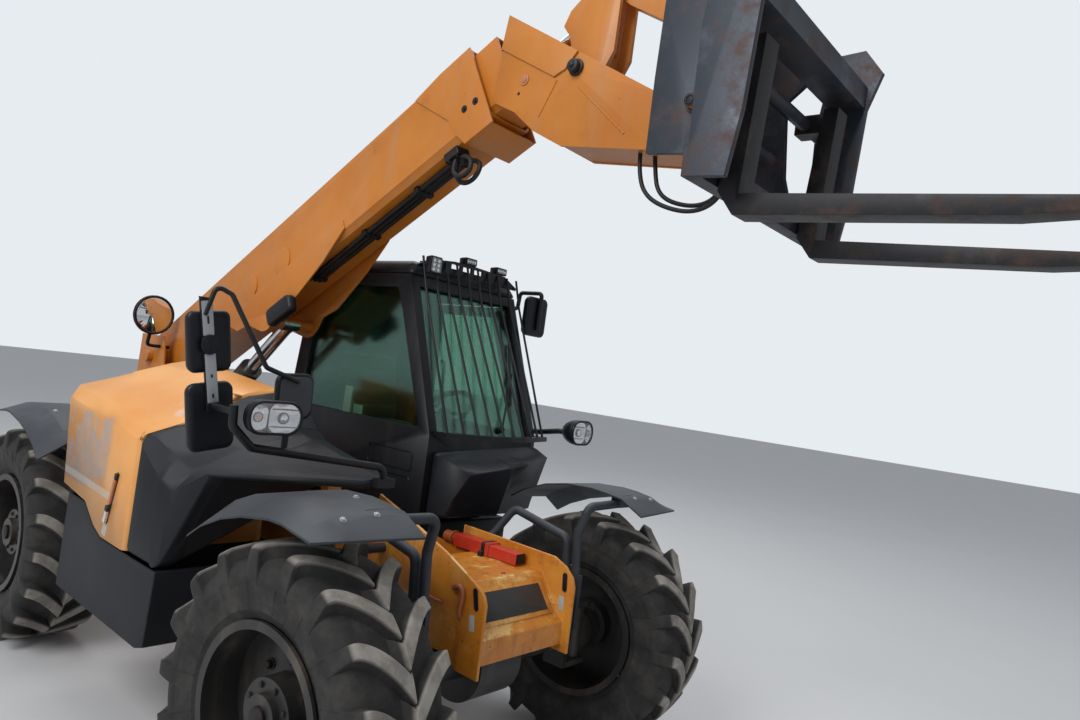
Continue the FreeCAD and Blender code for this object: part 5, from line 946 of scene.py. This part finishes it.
# Each row: name, place of the face, half width, half height, side on which the amber lamp lies.
for name, spot, half, high, outer in (
    ("right", (-320, -978, 1604), 112, 62, -1),
    ("left", (-360, 1083, 1604), 96, 68, 1),
):
    face = at(*spot)
    small, large = 0.33 * half, 0.60 * half
    small_spot = at(spot[0] + 1, spot[1] + outer * 0.64 * half, spot[2])
    large_spot = at(spot[0] + 1, spot[1] - outer * 0.33 * half, spot[2])
    rim = [rim_ring(face + (0.008, 0, 0), AHEAD, UPWARD, half, high, 0.9 * high, 8)]
    divider = at(spot[0] + 8, spot[1] + outer * 0.29 * half, spot[2])
    rim.append(pad(divider - (0.007, 0, 0), AHEAD, UPWARD, 3, high * 0.93, 9, 2, 1))
    many("head_lamp_rim_" + name, rim, "mirror_black", "lamp_lens")
    bowls = [
        bowl(small_spot, AHEAD, UPWARD, small, high * 0.78, high * 0.5, 8, 9),
        bowl(large_spot, AHEAD, UPWARD, large, high * 0.92, high * 0.6, 9, 14),
        pad(large_spot + (0.002, 0, 0), AHEAD, UPWARD, 17, 17, 6, 17, 3, 4),
    ]
    many("head_lamp_bowls_" + name, bowls, "reflector", "lamp_lens")
    rings = [rim_ring(large_spot + (0.004, 0, 0), AHEAD, UPWARD, 21, 21, 21, 2.4)]
    rings += [rim_ring(small_spot + (0.003, 0, 0), AHEAD, UPWARD, 18, 18, 18, 2)]
    for lift in (0.034, -0.034):
        rings.append(pad(large_spot + (0.006, 0, lift), AHEAD, UPWARD, large * 0.86, 2.2, 2, 2, 0.5))
    many("head_lamp_rings_" + name, rings, "mirror_black", "lamp_lens")
    bulb = [pad(small_spot + (0.001, 0, 0), AHEAD, UPWARD, 15, 15, 5, 15, 2.5, 6)]
    many("head_lamp_bulb_" + name, bulb, "amber_lens", "lamp_lens")
    cover = [pad(face + (0.010, 0, 0), AHEAD, UPWARD, half - 2, high - 2, 3, 0.88 * high, 1, 7)]
    many("head_lamp_glass_" + name, cover, "lamp_lens", "lamp_lens", sharp=60)
# Each row: name, y, z, half width and half height of a work lamp's face, rows and columns of its cells.
for name, y, z, half, high, cell_rows, cell_columns in (
    ("roof_right", 238, 2446, 36, 40, 3, 2),
    ("roof_middle", 590, 2534.3, 41, 15, 1, 4),
    ("roof_left", 860, 2528, 41, 15, 1, 4),
):
    spot, _ = seated("lamps", at(200, y, z), -AHEAD)
    wide, tall = half * 0.92, high * 0.92
    size = 0.8 * min(wide / cell_columns, tall / cell_rows)
    cells = []
    for row in range(cell_rows):
        for column in range(cell_columns):
            aside = (2 * (column + 0.5) / cell_columns - 1) * wide
            above = (2 * (row + 0.5) / cell_rows - 1) * tall
            middle = spot + (0.0005, aside / 1000, above / 1000)
            cells.append(pad(middle, AHEAD, UPWARD, size, size, 3, size, 1, 1.5, 5))
    many("work_lamp_cells_" + name, cells, "reflector", "lamp_lens")
    rim = [rim_ring(spot + (0.001, 0, 0), AHEAD, UPWARD, half, high, 8, 3)]
    many("work_lamp_rim_" + name, rim, "mirror_black", "lamp_lens")
    glass = [pad(spot + (0.004, 0, 0), AHEAD, UPWARD, half - 1, high - 1, 2, 7, 0.6, 1.5)]
    many("work_lamp_glass_" + name, glass, "lamp_lens", "lamp_lens")
print("two head lamps and three work lamps")

# %% [markdown]
# The mirrors face backwards, away from the camera, except the round one at the rear, which faces the
# driver. A flat galvanised bar with slots and a round clamp carries the two outer mirrors.

# %% Mirrors and their bar
for name, x, y, z, half, high, lean, corner in MIRRORS:
    spot = at(x, y, z)
    hint = (0, -lean, 1)
    glass = [pad(spot - (0.001, 0, 0), -AHEAD, hint, half * 0.78, high * 0.80, 2, corner - 6, 0.8, 2)]
    many("mirror_glass_" + name, glass, "mirror_face", "mirror_black", sharp=60)
    lip = [rim_ring(spot, -AHEAD, hint, half * 0.83, high * 0.85, corner - 4, 4)]
    many("mirror_lip_" + name, lip, "mirror_black", "mirror_black")
inner_back = [pad(at(-481, -795, 1680), AHEAD, (0, -0.05, 1), 76, 84, 3, 34, 1.5, 3)]
many("mirror_back_inner", inner_back, "grey_plastic", "mirror_black", sharp=50)
round_face = at(-3030, -330, 1970)
glass = [pad(round_face, AHEAD, UPWARD, 122, 122, 3, 122, 1, 14, 12)]
many("round_mirror_glass", glass, "mirror_face", "mirror_black", sharp=60)
rim = [rim_ring(round_face + (0.002, 0, 0), AHEAD, UPWARD, 126, 126, 126, 9)]
many("round_mirror_rim", rim, "mirror_black", "mirror_black")


def bar_place(share, aside=0.0, out=0.0):
    """A place on the front of the mirror bar: share is 0 at its foot and 1 at its top, the rest in mm."""
    return at(-569.5 + out, -1100 - 94 * share + aside, 1600 + 435 * share)


slope = bar_place(1) - bar_place(0)
bar = []
for low, high in ((0.0, 0.50), (0.66, 0.97)):
    middle = bar_place((low + high) / 2)
    bar.append(pad(middle, AHEAD, slope, 22, (high - low) * np.linalg.norm(slope) * 500, 4, 6, 1))
many("mirror_bar", bar, "zinc", "mirror_black")
# Each slot through the bar is a thin dark sheet on its face: painted shade.
slots = []
for share, high in ((0.80, 16), (0.87, 7), (0.12, 9), (0.30, 7)):
    slots.append(pad(bar_place(share, 0, 4), AHEAD, slope, 4, high, 1.2, 4, 0.3))
many("mirror_bar_slot_shades", slots, "plate_black", "mirror_black")
clamp = [
    pad(bar_place(0.58), AHEAD, slope, 36, 40, 14, 36, 4),
    pad(bar_place(0.58, 0, 14), AHEAD, slope, 27, 29, 5, 27, 2),
    pad(bar_place(0.02), AHEAD, slope, 30, 18, 10, 6, 2),
]
clamp += [bolt(bar_place(0.58 + step, 0, 19), AHEAD, 6, 5) for step in (-0.035, 0.035)]
many("mirror_clamp", clamp, "mirror_black", "mirror_black")
print("five mirrors")

# %% [markdown]
# The nose carries the worn details that the photograph shows best: a dark blank plate in a raised
# frame, a slot and a small blank label on each side plate, a bent handle and a hook of copper-brown rod,
# and a round boss behind the prop. A black strap holds the prop, whose square end is open. The slots and
# that open end are thin dark sheets: painted shade.

# %% Nose details
# A ray square to the sloped front finds the seat of the plate.
SLOPE_OUT = np.array([173, 0, 135]) / 219.4
slope_spot, slope_normal = seated("nose_frame", at(176, 18, 888) + (0.3, 0, 0.24), -SLOPE_OUT)
many("plate_frame", [pad(slope_spot, slope_normal, UPWARD, 236, 84, 4, 6, 1.2)], "nose_paint", "body_paint")
plate = [pad(slope_spot + slope_normal * 0.004, slope_normal, UPWARD, 207, 63, 2.5, 3, 0.8)]
many("front_plate", plate, "plate_black", "dark_paint")
welds = []
edge = np.linspace(-0.08, 0.08, 30)[:, None] * axes_to(slope_normal, UPWARD)[2]
for aside in (-0.238, 0.238):
    line = slope_spot + (0, aside, 0) + edge
    welds.append(tube_along(line, 0.004 + 0.0012 * np.sin(np.arange(30) * 1.9), 8))
many("plate_welds", welds, "copper_paint", "body_paint")

slots, labels, slot_rims = [], [], []
# Each row: place along X, side from which the plate is met, height of the slot, its half height and lean.
for x, side, z, high, lean in ((245, -500, 966, 46, -0.25), (247, 0, 968, 44, -0.10)):
    spot, normal = seated("nose_frame", at(x, side, z), INWARD)
    # The slot is a thin dark sheet on the plate: painted shade inside the opening.
    slots.append(pad(spot, normal, (lean, 0, 1), 13, high, 1.2, 13, 0.4))
    slot_rims.append(rim_ring(spot, normal, (lean, 0, 1), 14, high + 1, 14, 2.2))
    label, normal = seated("nose_frame", at(x - 6, side, z - 98), INWARD)
    labels.append(pad(label, normal, (lean * 0.5, 0, 1), 15, 33, 1.0, 3, 0.3))
many("nose_slot_shades", slots, "cab_paint", "body_paint")
many("nose_slot_rims", slot_rims, "copper_paint", "body_paint")
many("nose_labels", labels, "pale_label", "body_paint")

HANDLE = ((-134, -301, 1004), (-130, -318, 1006), (-96, -318, 1012), (-70, -318, 985))
HANDLE += ((-52, -318, 935), (-20, -318, 908), (44, -318, 905), (50, -301, 904))
HOOK = ((118, -301, 980), (122, -322, 985), (152, -322, 1004), (182, -322, 996))
HOOK += ((186, -322, 955), (172, -322, 900), (168, -301, 872))
rods = [
    tube_along(smooth_path(places(HANDLE), 8), 0.007, 12),
    tube_along(smooth_path(places(HOOK), 8), 0.011, 12),
]
for x, z in ((-134, 1004), (50, 904), (118, 980), (168, 872)):
    rods.append(pad(at(x, -303, z), (0, -1, 0), UPWARD, 14, 14, 4, 14, 1.5))
boss = ((0, 0), (0, 24), (6, 30), (64, 30), (64, 38), (72, 38), (72, 26), (80, 26), (80, 0))
rods.append(turned_about(at(-516, 232, 1016), boss, 32))
many("nose_rods", rods, "copper_paint", "body_paint")

strap = [
    pad(at(-224, 240, 1018), AHEAD, UPWARD, 47, 36, 20, 10, 1.5),
    pad(at(-226, 188, 996), AHEAD, UPWARD, 12, 14, 24, 4, 2),
]
many("prop_strap", strap, "hose_rubber", "red_paint")
# The prop's open square end is a thin dark sheet: painted shade inside the tube.
prop_end, normal = seated("safety_strut", at(200, 240, 1018), -AHEAD)
many("prop_opening_shade", [pad(prop_end, normal, UPWARD, 32, 25, 0.8, 5, 0.3)], "cab_paint", "red_paint")
tops = [seated("nose_frame", at(x, y, 1300), (0, 0, -1)) for x, y in ((40, -150), (60, 60), (-60, -190))]
many("deck_bolts", [bolt(spot, normal, 9, 7) for spot, normal in tops], "copper_paint", "body_paint")
print("nose dressed")

# %% [markdown]
# The seat is soft: a squab, a back and a head rest. Each is a crowned closed form whose sides pull in
# between its corners, with piping round its edge and sewn channels across its face.

# %% Seat
def cushion(middle, axes, half, channels, rows=56, columns=112):
    """A padded form about a middle: axes are across, along and through its thickness, half sizes in metres.

    The form is a superellipsoid. Its sides pull in by 4 percent between the corners, the piping stands
    out at its equator, and a channel is a narrow valley in both faces at a share of its length.
    """
    turn = np.linspace(-math.pi / 2, math.pi / 2, rows)[:, None]
    round_ = np.linspace(0, 2 * math.pi, columns, endpoint=False)[None]

    def power(number, exponent):
        return np.sign(number) * np.abs(number) ** exponent

    reach = power(np.cos(turn), 0.5)
    pull = 1 - 0.04 * np.cos(2 * round_) ** 2
    across = reach * power(np.cos(round_), 0.38) * pull
    along = reach * power(np.sin(round_), 0.38) * pull
    through = power(np.sin(turn), 0.62) * (0.86 + 0.14 * (1 - across**2) * (1 - along**2))
    piping = 0.006 * np.exp(-((turn / 0.09) ** 2)) - 0.005 * np.exp(-(((np.abs(turn) - 0.2) / 0.09) ** 2))
    for share in channels:
        through = through * (1 - 0.22 * np.exp(-(((along - share) / 0.035) ** 2)))
    grid = np.stack([across * (half[0] + piping), along * (half[1] + piping), through * half[2]], axis=-1)
    points = grid.reshape(-1, 3) @ np.asarray(axes) + middle
    caps = [np.arange(columns)[::-1][None], np.arange(columns)[None] + len(points) - columns]
    return points, [grid_faces(rows, columns, close_columns=True)] + caps


lean = np.array([-85.0, 0, 460]) / np.linalg.norm([85, 460])
level, leant = ((0, 1, 0), (-1, 0, 0), (0, 0, 1)), ((0, 1, 0), lean, np.cross((0, 1, 0), lean))
# Each row: name, middle, axes, half sizes, where the channels lie along it.
CUSHIONS = (
    ("seat_squab", at(-1470, 520, 1450), level, (0.232, 0.242, 0.057), (-0.5, 0, 0.5)),
    ("seat_back", at(-1707, 520, 1682), leant, (0.228, 0.232, 0.052), (-0.45, 0.05, 0.5)),
    ("seat_headrest", at(-1765, 520, 1967), leant, (0.124, 0.060, 0.040), ()),
)
for name, middle, axes, half, channels in CUSHIONS:
    cover = piece(name, *cushion(middle, axes, half, channels), "seat_fabric", "chassis", "seat_fabric", 60)
    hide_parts("seat")
print("three cushions")

# %% [markdown]
# A weld bead is a thin tube with ripples along a line on the steel. The line is given by corners seen
# from the side; a ray at each step finds the surface, so the bead follows every step of the plate.

# %% Boom welds, bolts and fittings
def weld(node, corners, size, side=-0.9):
    """A bead along straight runs between (x, z) corners in millimetres, on the side of the given sign."""
    corners = np.asarray(corners, float)
    runs = []
    for near, far in zip(corners, corners[1:]):
        steps = max(6, int(np.linalg.norm(far - near) / 9))
        runs.append(np.linspace(near, far, steps, endpoint=False))
    line = []
    for x, z in np.concatenate(runs + [corners[-1:]]):
        start = at(x, 0, z)
        start[1] = side
        line.append(seated(node, start, (0, 1 if side < 0 else -1, 0))[0])
    line = np.array(line)
    ripple = 1 + 0.22 * np.sin(np.arange(len(line)) * 2.1)
    return tube_along(line, size / 1000 * ripple, 8)


GOOSENECK_LINES = (((146, 3205), (66, 3052)), ((270, 3162), (545, 2925)))
beads = [weld("boom_inner", corners, 5, side) for corners in GOOSENECK_LINES for side in (-0.9, 0.9)]
many("gooseneck_welds", beads, "body_paint", "body_paint", "boom_slide")
fittings = []
for x, z in ((-394, 3132), (-325, 3162)):
    spot, normal = seated("boom_outer", at(x, -900, z), INWARD)
    fittings.append(rim_ring(spot, normal, UPWARD, 15, 15, 15, 4))
    fittings.append(bolt(spot, normal, 8, 7))
many("collar_bolts", fittings, "dark_steel", "body_paint", "boom")
knob = []
for side in (-0.9, 0.9):
    spot, normal = seated("boom_inner", at(251, side * 1000, 3243), (0, -np.sign(side), 0))
    knob.append(pad(spot - normal * 0.033, normal, UPWARD, 38, 38, 12, 38, 4))
    knob.append(pad(spot - normal * 0.021, normal, UPWARD, 29, 29, 26, 29, 5, 3))
    knob.append(bolt(spot + normal * 0.005, normal, 13, 9))
many("head_knob", knob, "plate_black", "dark_paint", "boom_slide")
spot, normal = seated("boom_inner", at(-50, -900, 3235), INWARD)
boss = [pad(spot, normal, UPWARD, 27, 27, 5, 27, 2)]
boss.append(pad(spot + normal * 0.005, normal, UPWARD, 15, 15, 3, 15, 1))
many("head_boss", boss, "copper_paint", "body_paint", "boom_slide")
# A hole in the head is a thin dark disc: painted shade.
spot, normal = seated("boom_inner", at(-75, -900, 3175), INWARD)
many("head_hole_shade", [pad(spot, normal, UPWARD, 8, 8, 0.8, 8, 0.2)], "cab_paint", "body_paint", "boom_slide")
rings, hole_shades, covers = [], [], []
for side in (-0.9, 0.9):
    inwards = (0, -np.sign(side), 0)
    spot, normal = seated("carriage", at(950, side * 1000, 2975), inwards)
    spot[0] -= 0.045
    rings.append(rim_ring(spot, normal, UPWARD, 33, 33, 33, 6))
    spot, normal = seated("carriage", at(1010, side * 1000, 2868), inwards)
    rings.append(rim_ring(spot, normal, UPWARD, 24, 24, 24, 6))
    # The hole inside each smaller collar is a thin dark disc: painted shade.
    hole_shades.append(pad(spot, normal, UPWARD, 19, 19, 1, 19, 0.3))
    spot, normal = seated("boom_inner", at(905, side * 1000, 2975), inwards)
    covers.append(pad(spot - normal * 0.004, normal, UPWARD, 24, 24, 6, 24, 1.5))
    covers.append(rim_ring(spot + normal * 0.002, normal, UPWARD, 15, 15, 15, 3))
many("carriage_collars", rings, "worn_steel", "worn_steel", "carriage")
many("carriage_hole_shades", hole_shades, "cab_paint", "worn_steel", "carriage")
many("carriage_pin_covers", covers, "dark_steel", "body_paint", "boom_slide")
print("boom and carriage fittings")

# %% [markdown]
# Small fittings on the body: the bonnet's rubber-and-steel latch over a yellow recess, bolts on the
# mudguards, blank stickers inside the side window, a recessed panel below it, and the wiper.

# %% Latch, bolts, panel, stickers and wiper
def on_bonnet(x, z):
    """The place and direction of the bonnet's right side at an x and z in millimetres."""
    return seated("bonnet", at(x, -1400, z), INWARD)


latch_top, latch_foot = np.array([-1400.0, 1180]), np.array([-1458.0, 952])
down = latch_foot - latch_top
tilt = (-down[0] / np.linalg.norm(down), 0, 1)
for name, share, half, high, thick, finish in (
    ("recess", 1.20, 24, 27, 2, "pale_label"),
    ("base", 0.50, 13, 128, 5, "plate_black"),
    ("strap", 0.36, 9, 62, 16, "copper_paint"),
    ("hook", 0.72, 13, 14, 20, "plate_black"),
    ("clasp", 0.90, 11, 30, 17, "rod_chrome"),
    ("top", 0.03, 11, 15, 15, "plate_black"),
):
    x, z = latch_top + share * down
    spot, normal = on_bonnet(x, z)
    fitting = [pad(spot - normal * 0.001, normal, tilt, half, high, thick, 6, 1.5, 0.6)]
    many("bonnet_latch_" + name, fitting, finish, "bonnet_paint", "bonnet")

bolts = []
for x, y in ((222, -998), (216, -850), (20, -800), (222, 998), (216, 850)):
    spot, normal = seated("mudguards_front", at(x, y, 1700), (0, 0, -1))
    bolts.append(bolt(spot, normal, 9, 7))
for x, y in ((-2560, -998), (-2560, 998)):
    spot, normal = seated("mudguards_rear", at(x, y, 1700), (0, 0, -1))
    bolts.append(bolt(spot, normal, 9, 7))
many("mudguard_bolts", bolts, "zinc", "black_plastic")

panel = [rim_ring(at(-985, 171, 1352), (0, -1, 0), UPWARD, 190, 50, 14, 5)]
panel.append(rim_ring(at(-985, 171, 1165), (0, -1, 0), UPWARD, 190, 100, 20, 5))
many("cab_side_panels", panel, "cab_paint", "cab_paint")
notes = []
for x, z, half, high in ((-1473, 1618, 36, 80), (-1362, 1570, 44, 27)):
    spot, _ = seated("cab_glass", at(x, -400, z), INWARD)
    notes.append(pad(spot + (0, 0.0065, 0), (0, -1, 0), UPWARD, half, high, 0.5, 3, 0.1))
many("window_notes", notes, "pale_label", "tinted_glass")


def on_windscreen(y, z, out):
    """A place on the windscreen at a y and z in millimetres, moved out by some metres."""
    spot, normal = seated("cab_glass", at(600, y, z), -AHEAD)
    return spot + normal * out


wiper_line = [on_windscreen(760 + 160 * share, 1560 + 330 * share, 0.022) for share in np.linspace(0, 1, 12)]
blade_line = [on_windscreen(880 + 70 * share, 1700 + 380 * share, 0.010) for share in np.linspace(0, 1, 12)]
hub_place = on_windscreen(760, 1560, 0.002)
wiper = [
    tube_along(wiper_line, 0.006, 8),
    tube_along(blade_line, 0.008, 8),
    pad(hub_place, AHEAD, UPWARD, 20, 20, 24, 20, 4),
]
many("wiper", wiper, "mirror_black", "black_plastic")
GRIP = ((-1650, 1075, 1600), (-1650, 1112, 1600), (-1650, 1112, 1760))
GRIP += ((-1650, 1112, 1920), (-1650, 1075, 1920))
grip = [tube_along(smooth_path(places(GRIP), 8), 0.012, 12)]
many("entry_grip", grip, "cab_paint", "cab_paint")
print("small fittings done")

# %% [markdown]
# Hoses that hang free are real cords: a smooth spline near a few corners, with a round section. Two loops
# hang below the gooseneck, and two more hang from the valve block at the end of the fixed runs below
# the boom. Places on the boom are given along it, across it and above its axis.

# %% Hanging hoses, valve block and cover below the boom
BOOM_PIVOT = np.asarray(joints["boom_lift"]["pos_m"], float)
BOOM_AHEAD = np.asarray(joints["boom_extension"]["axis"], float)
BOOM_UP = np.cross(BOOM_AHEAD, (0, 1, 0))


def on_boom(along, across, above):
    """A place given along the boom, across it and above its axis, in millimetres from its pivot."""
    return BOOM_PIVOT + along / 1000 * BOOM_AHEAD + np.array([0, across / 1000, 0]) + above / 1000 * BOOM_UP


def hose(name, corners, diameter, body):
    """A hanging hose: a spline of order three near its corners, returned by name with its measured length."""
    line = bpy.data.curves.new(name, "CURVE")
    line.dimensions = "3D"
    spline = line.splines.new("NURBS")
    corners = np.asarray(corners, float)
    spline.points.add(len(corners) - 1)
    spline.points.foreach_set("co", np.column_stack([corners, np.ones(len(corners))]).ravel())
    spline.order_u = 3
    spline.use_endpoint_u = True
    spline.resolution_u = 8
    thing = bpy.data.objects.new(name, line)
    scene.collection.objects.link(thing)
    bpy.context.view_layer.update()
    bare = bpy.data.meshes.new_from_object(thing)
    run = np.empty(len(bare.vertices) * 3)
    bare.vertices.foreach_get("co", run)
    length = float(np.linalg.norm(np.diff(run.reshape(-1, 3), axis=0), axis=1).sum())
    bpy.data.meshes.remove(bare)
    line.bevel_depth = diameter / 2
    line.bevel_resolution = 4
    line.use_fill_caps = True
    line.materials.append(finishes["hose_rubber"])
    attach(thing, body)
    return name, round(length, 3)


LOOP_NEAR = ((590, -60, 2862), (594, -60, 2790), (630, -60, 2695), (720, -60, 2636), (860, -60, 2603))
LOOP_NEAR += ((962, -60, 2640), (1004, -60, 2740), (965, -60, 2860), (905, -60, 2951))
LOOP_FAR = ((640, -25, 2856), (650, -25, 2790), (676, -28, 2706), (745, -32, 2658), (860, -34, 2634))
LOOP_FAR += ((944, -34, 2662), (978, -32, 2750), (945, -28, 2860), (905, -25, 2951))
# The loops at the valve block are given on the boom.
VALVE_NEAR = ((2944, -62, -209), (2990, -84, -228), (3052, -112, -262), (3098, -128, -318))
VALVE_NEAR += ((3078, -134, -372), (3010, -134, -372), (2968, -128, -318), (2976, -112, -262))
VALVE_NEAR += ((2990, -104, -236),)
VALVE_FAR = ((2944, -30, -209), (3000, -40, -232), (3070, -60, -280), (3110, -78, -340))
VALVE_FAR += ((3060, -90, -392), (2985, -92, -380), (2944, -86, -318), (2958, -78, -262))
VALVE_FAR += ((2976, -72, -236),)
lengths = [
    hose("gooseneck_hose_near", places(LOOP_NEAR), 0.018, "boom_slide"),
    hose("gooseneck_hose_far", places(LOOP_FAR), 0.018, "boom_slide"),
]
for number, loop in enumerate((VALVE_NEAR, VALVE_FAR)):
    lengths.append(hose("valve_hose_%d" % number, [on_boom(*spot) for spot in loop], 0.024, "boom"))
down = -BOOM_UP
block = [pad(on_boom(2984, -88, -192), down, BOOM_AHEAD, 44, 50, 44, 8, 3)]
block += [pad(on_boom(2952, y, -209), BOOM_AHEAD, BOOM_UP, 17, 17, 26, 6, 2) for y in (-62, -30, 2)]
block += [bolt(on_boom(u, y, -236), down, 9, 8) for u, y in ((2956, -118), (3012, -118), (3012, -60))]
many("boom_valve_block", block, "dark_steel", "hose_rubber", "boom")
stations = ((0, 0.86), (4, 0.95), (20, 1.0), (44, 0.98), (54, 0.90), (57, 0.78))
cover = moulding(on_boom(1505, -159.5, -368), (0, -1, 0), BOOM_UP, 128, 54, 30, stations)
many("boom_pin_cover", [cover], "mirror_black", "body_paint", "boom", sharp=50)
print(lengths)

# %% Floor and finish
floor = bpy.data.meshes.new("floor")
floor.from_pydata([(-40, -40, 0), (40, -40, 0), (40, 40, 0), (-40, 40, 0)], [], [(0, 1, 2, 3)])
ground = Finish("floor_grey")
tone = ground.mix(ground.noise(0.7, 3.0), (0.60, 0.60, 0.61, 1), (0.64, 0.64, 0.645, 1))
floor.materials.append(ground.surface(tone, 0.8))
ground_plane = bpy.data.objects.new("floor", floor)
scene.collection.objects.link(ground_plane)
